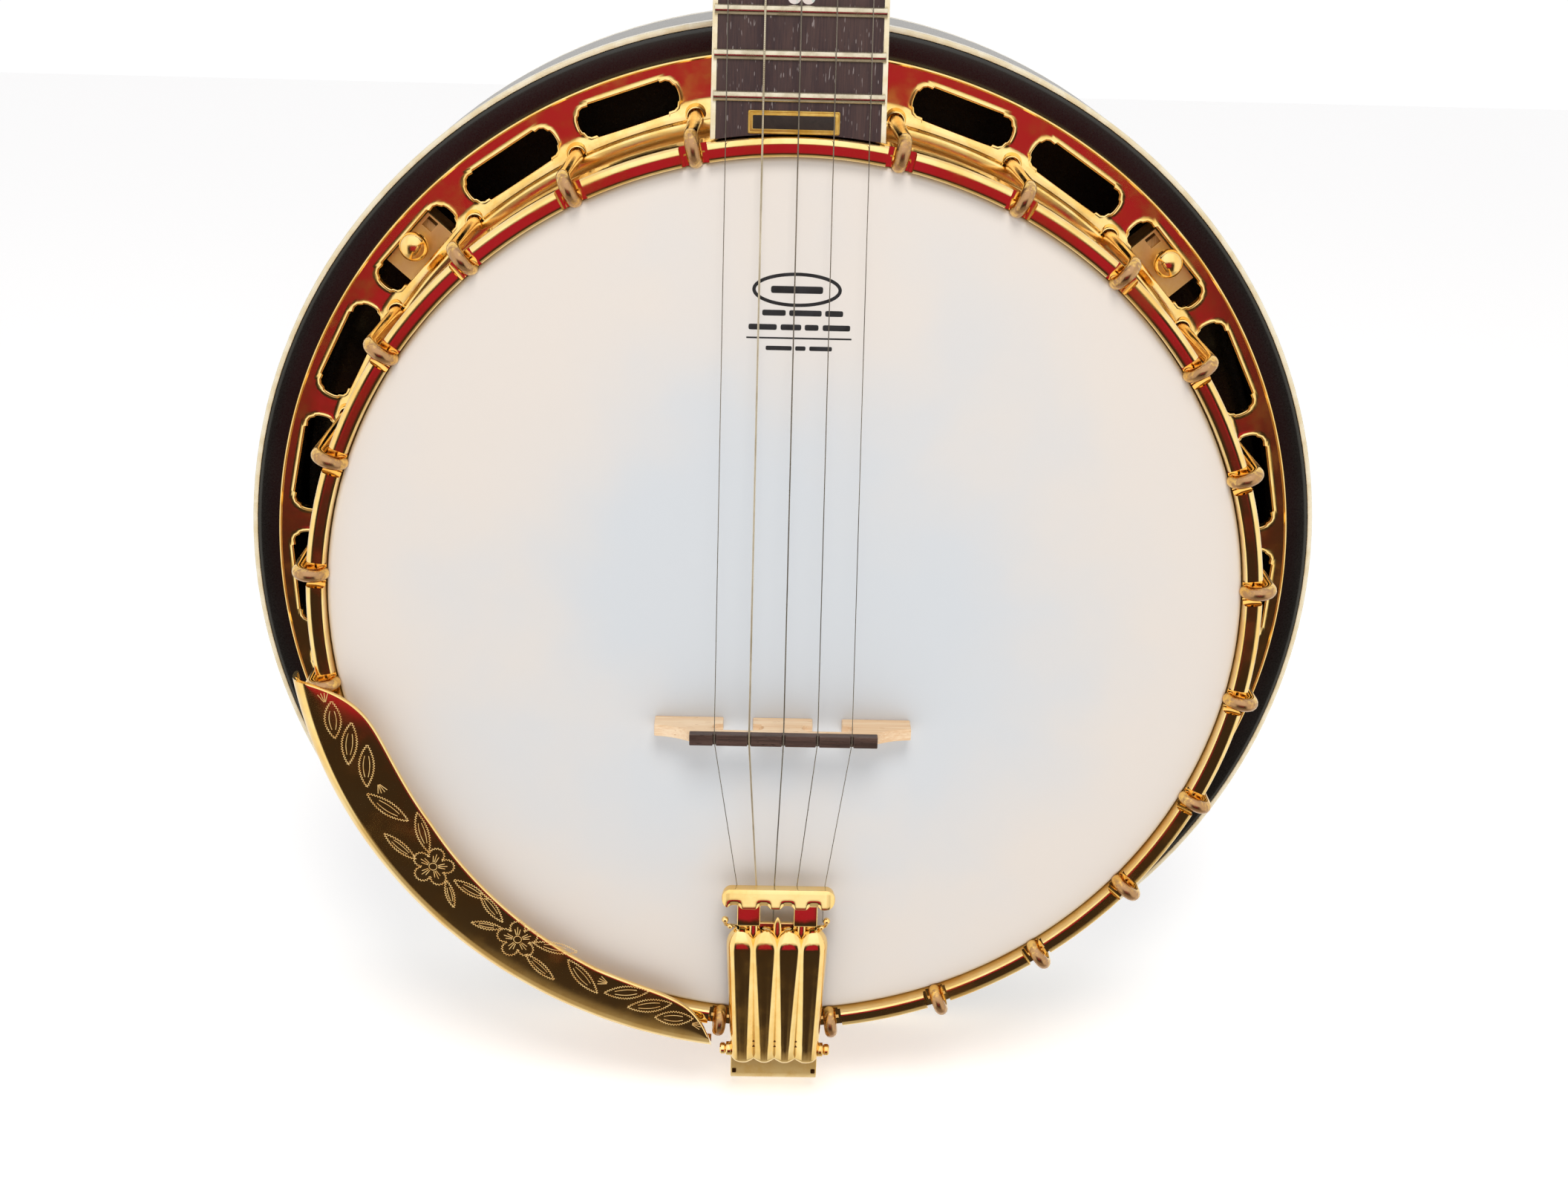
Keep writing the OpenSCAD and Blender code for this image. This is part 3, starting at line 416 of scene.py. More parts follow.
class Graph:
    """One shader tree, emptied and then filled from its coordinates to its output."""

    def __init__(self, tree: bpy.types.NodeTree) -> None:
        """Empties the tree.

        Args:
            tree: A material's or a world's node tree.
        """
        self.tree = tree
        tree.nodes.clear()

    def add(self, kind: str, inputs: dict | None = None, output: int | str = 0, stops: tuple = (),
            **settings) -> bpy.types.NodeSocket:
        """Adds one node with its settings and links.

        Args:
            kind: The node's type name.
            inputs: For each socket's name or number, a value, or the socket that is linked to it.
            output: Name or number of the socket to return.
            stops: Place and colour of each stop, for a colour ramp.
            **settings: The node's own settings.

        Returns:
            One output socket of the new node.
        """
        node = self.tree.nodes.new(kind)
        for name, value in settings.items():
            setattr(node, name, value)
        for key, value in (inputs or {}).items():
            if isinstance(value, bpy.types.NodeSocket):
                self.tree.links.new(value, node.inputs[key])
            else:
                node.inputs[key].default_value = value
        for i, (place, colour) in enumerate(stops):
            stop = node.color_ramp.elements[i] if i < 2 else node.color_ramp.elements.new(place)
            stop.position = place
            stop.color = colour
        return node.outputs[output] if len(node.outputs) else None

    def millimetres(self, stretch: Point = (1.0, 1.0, 1.0), turn: Point = (0.0, 0.0,
                                                                           0.0)) -> bpy.types.NodeSocket:
        """The piece's own place in millimetres, each axis divided by its stretch, after a turn in radians."""
        place = self.add("ShaderNodeTexCoord", output="Object")
        if any(turn):
            place = self.add("ShaderNodeMapping", {"Vector": place, "Rotation": turn})
        scale = tuple(1 / (MM * s) for s in stretch)
        return self.add("ShaderNodeMapping", {"Vector": place, "Scale": scale})

    def range(self, value: bpy.types.NodeSocket, low: float, high: float, to_low: float, to_high: float,
              soft: bool = True) -> bpy.types.NodeSocket:
        """Value eased, or carried straight, from one range to another, and held at its ends."""
        ends = {"Value": value, "From Min": low, "From Max": high, "To Min": to_low, "To Max": to_high}
        return self.add("ShaderNodeMapRange", ends, interpolation_type="SMOOTHSTEP" if soft else "LINEAR")


@dataclass(frozen=True)
class Finish(ABC):
    """What a surface is made of. Each kind paints its own nodes; a finish's material is made once and
    shared."""

    name: str
    slot: str

    @abstractmethod
    def paint(self, graph: Graph) -> dict:
        """Adds the pattern nodes, and returns what goes into each socket of the surface shader."""

    def material(self) -> bpy.types.Material:
        """This finish's material, made the first time it is asked for."""
        found = bpy.data.materials.get(self.name)
        if found is None:
            found = bpy.data.materials.new(self.name)
            found.use_nodes = True
            graph = Graph(found.node_tree)
            surface = graph.add("ShaderNodeBsdfPrincipled", self.paint(graph))
            graph.add("ShaderNodeOutputMaterial", {"Surface": surface})
        return found

    def dress(self, piece: bpy.types.Object) -> None:
        """Gives a piece this finish and nothing else."""
        piece.data.materials.clear()
        piece.data.materials.append(self.material())


@dataclass(frozen=True)
class Metal(Finish):
    """A polished, plated or drawn metal: a mirror that polishing waves, thin smears and fine scuffs
    soften."""

    colour: str = "#FFFFFF"
    deep: str = "#DDDDDD"
    roughness: float = 0.08
    smear: float = 0.1
    smear_mm: float = 14.0
    wave_mm: float = 6.0
    wave: float = 0.02
    grain: Point = (1.0, 1.0, 1.0)

    def paint(self, graph: Graph) -> dict:
        """Colour drifts between two tones, roughness follows the smears, and the waves are a shallow bump."""
        place = graph.millimetres(self.grain)
        smears = graph.add("ShaderNodeTexNoise", {"Vector": place, "Scale": 1 / self.smear_mm, "Detail": 6.0,
                                                  "Roughness": 0.62})
        waves = graph.add("ShaderNodeTexNoise", {"Vector": place, "Scale": 1 / self.wave_mm, "Detail": 2.0})
        tone = graph.add("ShaderNodeMix", {0: graph.range(smears, 0.35, 0.7, 0.0, 1.0),
                                           6: linear(self.colour),
                                           7: linear(self.deep)}, output=2, data_type="RGBA")
        bump = graph.add("ShaderNodeBump", {"Height": waves, "Strength": 0.5, "Distance": self.wave * MM})
        rough = graph.range(smears, 0.42, 0.72, self.roughness, self.roughness + self.smear)
        return {"Base Color": tone, "Roughness": rough, "Metallic": 1.0, "Normal": bump}


@dataclass(frozen=True)
class RubbedAndShadedGold(Metal):
    """Gold plate on the bracket hooks, with a rose-brown tone on the arches that is partly the pinkish nickel
    that hands have rubbed bare and partly painted shade."""

    # rose-brown tone of the arch tops: rubbed plate and painted shade
    rubbed: str = "#B48D68"
    from_h: float = 103.8
    to_h: float = 107.6

    def paint(self, graph: Graph) -> dict:
        """The gold's own paint, with the rose-brown tone of rubbed plate and painted shade, and a duller
        face, from from_h up to to_h in height.
        """
        made = super().paint(graph)
        height = graph.add("ShaderNodeSeparateXYZ", {0: graph.add("ShaderNodeTexCoord", output="Object")},
                           output=1)
        patch = graph.add("ShaderNodeTexNoise", {"Vector": graph.millimetres(), "Scale": 0.9, "Detail": 3.0})
        rubbed_and_shaded_height = graph.add("ShaderNodeMath", {0: height, 1: graph.range(patch, 0.3, 0.7, -1.2 * MM, 1.2 * MM)},
                         operation="ADD")
        # share of rubbed plate and painted shade, rising towards the arch tops
        share = graph.range(rubbed_and_shaded_height, -self.from_h * MM, -self.to_h * MM, 0.0, 1.0)
        made["Base Color"] = graph.add("ShaderNodeMix", {0: share, 6: made["Base Color"],
                                                         7: linear(self.rubbed)},
                                       output=2, data_type="RGBA")
        made["Roughness"] = graph.add("ShaderNodeMath", {0: made["Roughness"],
                                                         1: graph.range(share, 0.0, 1.0, 0.0, 0.12)},
                                      operation="ADD")
        return made


@dataclass(frozen=True)
class FrostedHead(Finish):
    """Coated polyester film: a sprayed matte face, with painted shading that is cooler and darker in the
    middle and warmer and brighter towards the rim.
    """

    # painted shading: the cooler, darker tone of the middle and the warmer, brighter tone of the rim
    centre: str = "#D3D8DD"
    rim: str = "#E4DCD4"
    grit_mm: float = 0.5

    def paint(self, graph: Graph) -> dict:
        """Colour follows the distance from the middle as painted shading, cooler and darker in the middle and
        warmer and brighter at the rim, with cloudy spray and a grit bump. The real grit is 0.05 mm and is
        drawn ten times coarser, so that it shows."""
        place = graph.millimetres()
        part = [graph.add("ShaderNodeSeparateXYZ", {0: place}, output=i) for i in (0, 2)]
        flat = graph.add("ShaderNodeCombineXYZ", {0: part[0], 2: part[1]})
        distance = graph.add("ShaderNodeVectorMath", {0: flat}, output=1, operation="LENGTH")
        cloud = graph.add("ShaderNodeTexNoise", {"Vector": place, "Scale": 1 / 60, "Detail": 3.0})
        drift = graph.range(cloud, 0.3, 0.7, -22.0, 22.0)
        reach = graph.add("ShaderNodeMath", {0: distance, 1: drift}, operation="ADD")
        # painted shading by distance from the middle: cooler and darker inside, warmer and brighter at the
        # rim
        tone = graph.add("ShaderNodeMix", {0: graph.range(reach, 30.0, 138.0, 0.0, 1.0),
                                           6: linear(self.centre),
                                           7: linear(self.rim)}, output=2, data_type="RGBA")
        grit = graph.add("ShaderNodeTexNoise", {"Vector": place, "Scale": 1 / self.grit_mm, "Detail": 2.0})
        bump = graph.add("ShaderNodeBump", {"Height": grit, "Strength": 0.25, "Distance": 0.03 * MM})
        return {"Base Color": tone, "Roughness": 0.62, "Normal": bump, "Specular IOR Level": 0.35}


class Grain(Enum):
    """Which way a wood's fibres run in the row frame."""

    ALONG_STRINGS = "z"
    ACROSS_STRINGS = "x"
    ROUND_RIM = "ring"


@dataclass(frozen=True)
class Wood(Finish):
    """Sawn, sanded and finished wood: growth bands, fibre streaks and open pores that run with the grain."""

    light: str = "#E8C79A"
    dark: str = "#B98A58"
    pore: str = "#6A4526"
    grain: Grain = Grain.ALONG_STRINGS
    fibre_mm: float = 0.35
    band_mm: float = 4.0
    pore_share: float = 0.5
    roughness: float = 0.42
    coat: float = 0.0

    def _place(self, graph: Graph) -> bpy.types.NodeSocket:
        """Millimetres with the fibre's way along the third axis; round the rim that is the angle times its
        radius."""
        if self.grain is Grain.ACROSS_STRINGS:
            return graph.millimetres((1.0, 1.0, 1.0), (0.0, math.pi / 2, 0.0))
        if self.grain is Grain.ROUND_RIM:
            part = [graph.add("ShaderNodeSeparateXYZ", {0: graph.millimetres()}, output=i) for i in range(3)]
            angle = graph.add("ShaderNodeMath", {0: part[2], 1: part[0]}, operation="ARCTAN2")
            flat = graph.add("ShaderNodeCombineXYZ", {0: part[0], 1: part[2]})
            radius = graph.add("ShaderNodeVectorMath", {0: flat}, output=1, operation="LENGTH")
            arc = graph.add("ShaderNodeMath", {0: angle, 1: 130.0}, operation="MULTIPLY")
            return graph.add("ShaderNodeCombineXYZ", {0: radius, 1: part[1], 2: arc})
        return graph.millimetres()

    def paint(self, graph: Graph) -> dict:
        """Bands are wide noise, fibres are noise pulled thirty times along the grain, and pores are the
        peaks of a finer one, which also dent the surface."""
        place = self._place(graph)
        band = graph.add("ShaderNodeTexNoise", {"Vector": graph.add("ShaderNodeMapping", {
            "Vector": place, "Scale": (1 / self.band_mm, 1 / self.band_mm, 0.04 / self.band_mm)}),
            "Scale": 1.0, "Detail": 3.0, "Distortion": 0.4})
        fibre = graph.add("ShaderNodeTexNoise", {"Vector": graph.add("ShaderNodeMapping", {
            "Vector": place, "Scale": (1 / self.fibre_mm, 1 / self.fibre_mm, 0.03 / self.fibre_mm)}),
            "Scale": 1.0, "Detail": 3.0})
        mixed = graph.add("ShaderNodeMix", {0: 0.45, 2: band, 3: fibre}, data_type="FLOAT")
        tone = graph.add("ShaderNodeMix", {0: graph.range(mixed, 0.36, 0.64, 0.0, 1.0), 6: linear(self.light),
                                           7: linear(self.dark)}, output=2, data_type="RGBA")
        cells = graph.add("ShaderNodeTexNoise", {"Vector": graph.add("ShaderNodeMapping", {
            "Vector": place, "Scale": (0.8 / self.fibre_mm, 0.8 / self.fibre_mm, 0.11 / self.fibre_mm)}),
            "Scale": 1.0, "Detail": 1.0})
        edge = 0.78 - 0.22 * self.pore_share
        pores = graph.range(cells, edge, edge + 0.05, 0.0, 1.0)
        colour = graph.add("ShaderNodeMix", {0: graph.add("ShaderNodeMath", {0: pores, 1: 0.8},
                                                          operation="MULTIPLY"),
                                             6: tone, 7: linear(self.pore)}, output=2, data_type="RGBA")
        dents = graph.add("ShaderNodeMath", {0: fibre, 1: pores}, operation="SUBTRACT")
        bump = graph.add("ShaderNodeBump", {"Height": dents, "Strength": 0.3, "Distance": 0.05 * MM})
        rough = graph.range(fibre, 0.3, 0.7, self.roughness - 0.06, self.roughness + 0.08)
        return {"Base Color": colour, "Roughness": rough, "Normal": bump, "Coat Weight": self.coat,
                "Coat Roughness": 0.08}


@dataclass(frozen=True)
class Coating(Finish):
    """A smooth moulded, cast or sprayed skin: two close tones in soft patches, fine dust, and a faint peel
    bump."""

    light: str = "#EDE3C4"
    dark: str = "#DCCDA2"
    patch_mm: float = 9.0
    roughness: float = 0.3
    coat: float = 0.0
    coat_roughness: float = 0.05
    peel_mm: float = 0.9
    peel: float = 0.02
    stretch: Point = (1.0, 1.0, 1.0)

    def paint(self, graph: Graph) -> dict:
        """Patches and dust are noise at two sizes, and the peel is a third one that only bends the light."""
        place = graph.millimetres(self.stretch)
        patch = graph.add("ShaderNodeTexNoise", {"Vector": place, "Scale": 1 / self.patch_mm, "Detail": 4.0,
                                                 "Distortion": 0.6})
        tone = graph.add("ShaderNodeMix", {0: graph.range(patch, 0.35, 0.65, 0.0, 1.0), 6: linear(self.light),
                                           7: linear(self.dark)}, output=2, data_type="RGBA")
        dust = graph.add("ShaderNodeTexNoise", {"Vector": place, "Scale": 1.7, "Detail": 5.0,
                                                "Roughness": 0.7})
        rough = graph.range(dust, 0.35, 0.75, self.roughness - 0.04, self.roughness + 0.1)
        peel = graph.add("ShaderNodeTexNoise", {"Vector": place, "Scale": 1 / self.peel_mm, "Detail": 1.0})
        bump = graph.add("ShaderNodeBump", {"Height": peel, "Strength": 0.3, "Distance": self.peel * MM})
        return {"Base Color": tone, "Roughness": rough, "Normal": bump, "Coat Weight": self.coat,
                "Coat Roughness": self.coat_roughness}


@dataclass(frozen=True)
class Pearl(Finish):
    """Mother of pearl, or its celluloid copy: silky cells, each leaning its own way, in pale pink, green and
    blue."""

    cell_mm: float = 2.6
    tint: float = 1.0
    base: str = "#E9E6DF"

    def paint(self, graph: Graph) -> dict:
        """Cells are warped Voronoi patches; each cell's random value picks a tint, and its slope bends the
        light."""
        place = graph.millimetres()
        warp = graph.add("ShaderNodeTexNoise", {"Vector": place, "Scale": 0.5 / self.cell_mm, "Detail": 2.0},
                         output="Color")
        moved = graph.add("ShaderNodeMix", {0: 0.12, 4: place, 5: graph.add(
            "ShaderNodeVectorMath", {0: warp, 1: (30.0, 30.0, 30.0)}, operation="MULTIPLY")},
            output=1, data_type="VECTOR")
        cell = graph.add("ShaderNodeTexVoronoi", {"Vector": moved, "Scale": 1 / self.cell_mm}, output="Color")
        pick = graph.add("ShaderNodeSeparateColor", {0: cell})
        tints = graph.add("ShaderNodeValToRGB", {0: pick}, stops=(
            (0.0, linear("#F3EEE6")), (1.0, linear("#D7DDE6")), (0.3, linear("#E6D6DC")), (0.55,
                                                                                           linear("#D5E6DC")),
            (0.8, linear("#F6F3EC"))))
        colour = graph.add("ShaderNodeMix", {0: self.tint, 6: linear(self.base), 7: tints}, output=2,
                           data_type="RGBA")
        bump = graph.add("ShaderNodeBump", {"Height": pick, "Strength": 0.35, "Distance": 0.08 * MM})
        return {"Base Color": colour, "Roughness": 0.18, "Normal": bump, "Metallic": 0.25, "Coat Weight": 0.7,
                "Coat Roughness": 0.04}


@dataclass(frozen=True)
class WoundWire(Metal):
    """A plain core wound with round wire. The real turns are 0.1 mm and are drawn five times coarser, to
    show."""

    turn_mm: float = 0.5

    def paint(self, graph: Graph) -> dict:
        """The metal's own paint, with bands square to the string as a bump."""
        made = super().paint(graph)
        bands = graph.add("ShaderNodeTexWave", {"Vector": graph.millimetres(), "Scale": 0.314 / self.turn_mm},
                          output=1, bands_direction="Z")
        made["Normal"] = graph.add("ShaderNodeBump", {"Height": bands, "Strength": 0.8,
                                                      "Distance": 0.06 * MM})
        return made


# Polished brass with gold electroplate: a warm mirror with wiping smears
GOLD = Metal("gold_electroplate", "gold_plate", "#FFE2A2", "#F7CE80", 0.07, 0.14, 16.0, 7.0, 0.025)
# The same plate on castings that only a mop has touched, so they are softer than the turned parts
CAST_GOLD = Metal("mopped_gold_casting", "gold_plate", "#FFDF9A", "#F5C974", 0.11, 0.12, 9.0, 3.0, 0.03)
# Hook gold with rubbed plate and painted shade on the arch tops
HOOK_GOLD = RubbedAndShadedGold("rubbed_and_shaded_gold_hooks", "gold_plate", "#FFD680", "#F0B95C", 0.12, 0.12, 9.0, 3.0, 0.02)
# Graver cuts through the plate: bright burrs that scatter the light
CUT_GOLD = Metal("wriggle_cut_gold", "gold_plate", "#F6D79C", "#DDAE6C", 0.3, 0.12, 3.0, 0.6, 0.02)
# Satin gold of the stamped straps: it blurs the room into one pale tone
SATIN_GOLD = Metal("satin_gold_strap", "gold_plate", "#FFE3A4", "#F4CE82", 0.4, 0.1, 8.0, 2.0, 0.02)
NICKEL = Metal("polished_nickel_plate", "plain_steel", "#E2DED6", "#C9C4BB", 0.12, 0.14, 10.0, 4.0, 0.02)
STEEL = Metal("zinc_plated_steel", "plain_steel", "#C9C8C4", "#A9A8A3", 0.24, 0.16, 6.0, 1.5, 0.03)
ALUMINIUM = Metal("drawn_aluminium_collar", "flesh_aluminium", "#DCDDDE", "#C4C6C8", 0.2, 0.12, 12.0, 3.0,
                  0.02)
BRONZE = Metal("cast_bell_bronze", "bell_bronze", "#D9A25E", "#B87F44", 0.2, 0.14, 9.0, 2.0, 0.03)
FRET_METAL = Metal("rolled_nickel_silver", "fret_nickel", "#DAD2BE", "#BDB39C", 0.16, 0.16, 5.0, 1.0, 0.01)
STRING_METAL = Metal("drawn_plated_steel_wire", "string_steel", "#9C9890", "#6E6A64", 0.24, 0.1, 30.0, 5.0,
                     0.005)
WOUND_METAL = WoundWire("wound_string", "wound_bronze", "#E3DCCB", "#B9AE98", 0.28, 0.1, 20.0, 3.0, 0.01)
FRAME_BRASS = Metal("stamped_brass_frame", "plate_brass", "#F6D77E", "#DDB04E", 0.42, 0.12, 5.0, 1.0, 0.02)
HEAD_FILM = FrostedHead("coated_polyester_film", "frosted_head")
# Screen ink lies a few hundredths of a millimetre proud of the film and is almost matte
HEAD_INK = Coating("black_screen_ink", "frosted_head", "#17181B", "#26272B", 6.0, 0.5)
RIM_MAPLE = Wood("laminated_maple_rim", "maple", "#D9A66B", "#B47B43", "#8A5A2E", Grain.ROUND_RIM, 0.5, 5.0,
                 0.3,
                 0.34, 0.5)
BRIDGE_MAPLE = Wood("sanded_maple_bridge", "bridge_maple", "#F6DDBC", "#E7C196", "#C99C6C",
                    Grain.ACROSS_STRINGS,
                    0.4, 2.6, 0.35, 0.5)
EBONY = Wood("dyed_ebony_cap", "ebony", "#5A443B", "#33251F", "#1C130F", Grain.ACROSS_STRINGS, 0.25, 2.0,
             0.5, 0.32)
# Oiled rosewood: dark purple-brown, its open pores packed with pale polishing dust
ROSEWOOD = Wood("oiled_rosewood_board", "rosewood", "#4C3B38", "#33272A", "#8E8482", Grain.ALONG_STRINGS,
                0.4, 7.0,
                0.5, 0.36)
MAHOGANY = Wood("lacquered_mahogany_neck", "mahogany", "#7C3E22", "#562714", "#2C130A", Grain.ALONG_STRINGS,
                0.45,
                6.0, 0.7, 0.3, 0.9)
LUG_MAPLE = Wood("sawn_maple_lugs", "maple", "#DDB37E", "#C1925A", "#94683A", Grain.ALONG_STRINGS, 0.4, 4.0,
                 0.4,
                 0.6)
# Sprayed black lacquer rubbed to a satin gloss
BLACK_LACQUER = Coating("rubbed_black_lacquer", "black_lacquer", "#080808", "#0E0D0D", 30.0, 0.3, 0.3, 0.16,
                        1.4,
                        0.02)
OVERLAY = Coating("polished_black_overlay", "black_lacquer", "#0D0C0D", "#141314", 24.0, 0.22, 1.0, 0.05,
                  1.8, 0.02)
# Cast celluloid: cream, with the faint streaks of its sheet
CREAM_BINDING = Coating("cream_celluloid_binding", "cream_binding", "#F4EBD0", "#E9DAB4", 6.0, 0.26, 0.4,
                        0.1, 0.8,
                        0.01)
COVER_PLASTIC = Coating("cream_celluloid_cover", "cream_binding", "#EFE6CD", "#E2D5B2", 8.0, 0.2, 0.6, 0.06)
BONE = Coating("polished_bone", "bone", "#EFE8D6", "#DDD2B8", 3.0, 0.3, 0.2, 0.15, 0.5, 0.02, (1.0, 1.0, 4.0))
PLATE_ENAMEL = Coating("dark_enamel_field", "plate_brass", "#1E1613", "#2A201B", 3.0, 0.5)
# Dark gold in the lid's dimples and at the strap's lower corners: painted shade of the hollows there
DIMPLE_SHADE = Metal("painted_shade_gold_pit", "gold_plate", "#6E4A24", "#3A2410", 0.3, 0.2, 2.0, 0.5, 0.03)
INLAY_PEARL = Pearl("shell_inlay", "pearl", 2.4, 1.0)
KNOB_PEARL = Pearl("pearloid_button", "pearloid", 5.0, 0.75, "#EDE6D2")


# ---------- room ----------


@dataclass(frozen=True)
class Studio:
    """Pale floor, white surroundings, one soft lamp above the front, and the camera."""

    camera_at: Point = (-0.0102, -0.642, 0.2158)
    yaw_deg: float = 1.02
    pitch_deg: float = 21.0
    roll_deg: float = 1.49
    lens_mm: float = 43.45
    floor_half: float = 3.0

    def build(self) -> None:
        """Makes the floor, the surroundings, the lamp and the camera."""
        self._floor()
        self._surroundings()
        self._lamp()
        self._camera()

    def _floor(self) -> None:
        """A pale square under the resonator's lowest edge, which shines a little so that it stays near
        white."""
        h = self.floor_half
        level = -(RESONATOR_R + 0.5) * MM
        mesh = bpy.data.meshes.new("studio_floor")
        mesh.from_pydata([(-h, -h, level), (h, -h, level), (h, h, level), (-h, h, level)], [], [(0, 1, 2, 3)])
        floor = bpy.data.objects.new("studio_floor", mesh)
        bpy.context.scene.collection.objects.link(floor)
        material = bpy.data.materials.new("pale_studio_paper")
        material.use_nodes = True
        graph = Graph(material.node_tree)
        surface = graph.add("ShaderNodeBsdfPrincipled", {
            "Base Color": linear("#F7F6F4"), "Roughness": 0.9, "Emission Color": linear("#FFFFFF"),
            "Emission Strength": 0.55})
        graph.add("ShaderNodeOutputMaterial", {"Surface": surface})
        mesh.materials.append(material)
        floor.visible_glossy = False

    def _surroundings(self) -> None:
        """White to the eye and soft white as light, while mirrors see a room: pale above and behind, a deep
        red patch in front a little below level, dark brown below it, and a pale strip at each side."""
        world = bpy.data.worlds.new("studio_surroundings")
        bpy.context.scene.world = world
        world.use_nodes = True
        world.cycles.sampling_method = "NONE"
        graph = Graph(world.node_tree)
        way = graph.add("ShaderNodeTexCoord", output="Generated")
        x, y, z = (graph.add("ShaderNodeSeparateXYZ", {0: way}, output=i) for i in range(3))
        side = graph.add("ShaderNodeMath", {0: x}, operation="ABSOLUTE")
        sheen = graph.add("ShaderNodeTexNoise", {"Vector": way, "Scale": 5.0, "Detail": 3.0})
        level = graph.add("ShaderNodeMath", {0: z, 1: graph.range(sheen, 0.3, 0.7, -0.03, 0.03)},
                          operation="ADD")
        front = graph.add("ShaderNodeValToRGB", {0: graph.range(level, -1.0, 1.0, 0.0, 1.0, soft=False)},
                          stops=(
            (0.0, (0.5, 0.44, 0.36, 1)), (1.0, (1.3, 1.28, 1.24, 1)), (0.15, (0.42, 0.36, 0.27, 1)),
            (0.195, (0.22, 0.17, 0.11, 1)), (0.218, (0.045, 0.03, 0.02, 1)), (0.43, (0.03, 0.018, 0.012, 1)),
            (0.5, (0.09, 0.06, 0.04, 1)), (0.55, (0.72, 0.66, 0.52, 1)), (0.6, (1.25, 1.2, 1.1, 1))))
        red_parts = (graph.range(side, 0.2, 0.34, 1.0, 0.0), graph.range(level, -0.37, -0.27, 0.0, 1.0),
                     graph.range(level, 0.0, 0.05, 1.0, 0.0))
        red = graph.add("ShaderNodeMath", {0: red_parts[0], 1: red_parts[1]}, operation="MULTIPLY")
        red = graph.add("ShaderNodeMath", {0: red, 1: red_parts[2]}, operation="MULTIPLY")
        seen = graph.add("ShaderNodeMix", {0: red, 6: front, 7: (0.38, 0.018, 0.045, 1)}, output=2,
                         data_type="RGBA")
        strip_parts = (graph.range(side, 0.45, 0.6, 0.0, 1.0), graph.range(level, -0.8, -0.55, 0.0, 1.0))
        strip = graph.add("ShaderNodeMath", {0: strip_parts[0], 1: strip_parts[1]}, operation="MULTIPLY")
        seen = graph.add("ShaderNodeMix", {0: strip, 6: seen, 7: (1.1, 1.05, 0.9, 1)}, output=2,
                         data_type="RGBA")
        behind = graph.range(y, -0.25, 0.15, 0.0, 1.0)
        seen = graph.add("ShaderNodeMix", {0: behind, 6: seen, 7: (0.95, 0.93, 0.9, 1)}, output=2,
                         data_type="RGBA")
        room = graph.add("ShaderNodeBackground", {"Color": seen, "Strength": 1.0})
        light = graph.add("ShaderNodeBackground", {"Color": linear("#FBFBFF"), "Strength": 0.4})
        white = graph.add("ShaderNodeBackground", {"Color": (1, 1, 1, 1), "Strength": 1.02})
        shader = graph.add("ShaderNodeMixShader", {0: graph.add("ShaderNodeLightPath",
                                                                output="Is Glossy Ray"),
                                                   1: light, 2: room})
        shader = graph.add("ShaderNodeMixShader", {0: graph.add("ShaderNodeLightPath",
                                                                output="Is Camera Ray"),
                                                   1: shader, 2: white})
        graph.add("ShaderNodeOutputWorld", {"Surface": shader})

    def _lamp(self) -> None:
        """A wide soft lamp above the front, which mirrors don't see."""
        data = bpy.data.lights.new("soft_overhead", "AREA")
        data.shape = "DISK"
        data.size = 0.55
        data.energy = 8.8
        data.color = (1.0, 0.965, 0.92)
        lamp = bpy.data.objects.new("soft_overhead", data)
        bpy.context.scene.collection.objects.link(lamp)
        at = np.array([0.05, -0.85, 1.05])
        back = unit(at)
        right = unit(np.cross([0.0, 0.0, 1.0], back))
        rise = np.cross(back, right)
        lamp.matrix_world = Matrix([[*row, value] for row, value in zip(np.stack([right, rise, back], 1), at)]
                                   + [[0, 0, 0, 1]])
        lamp.visible_glossy = False

    def _camera(self) -> None:
        """Looks from the camera's place along its yaw and downward pitch, rolled about its view."""
        yaw, pitch, roll = (math.radians(a) for a in (self.yaw_deg, self.pitch_deg, self.roll_deg))
        ahead = np.array([math.sin(yaw) * math.cos(pitch), math.cos(yaw) * math.cos(pitch), -math.sin(pitch)])
        level = np.array([math.cos(yaw), -math.sin(yaw), 0.0])
        up = np.cross(level, ahead)
        right = level * math.cos(roll) + up * math.sin(roll)
        rise = up * math.cos(roll) - level * math.sin(roll)
        data = bpy.data.cameras.new("studio_camera")
        data.sensor_width = 36.0
        data.lens = self.lens_mm
        data.clip_start = 0.01
        camera = bpy.data.objects.new("studio_camera", data)
        bpy.context.scene.collection.objects.link(camera)
        camera.matrix_world = Matrix([[*row, value] for row, value in
                                      zip(np.stack([right, rise, -ahead], 1), self.camera_at)] + [[0, 0, 0,
                                                                                                   1]])
        bpy.context.scene.camera = camera
        bpy.context.scene.view_settings.view_transform = "Standard"


# ---------- pot ----------


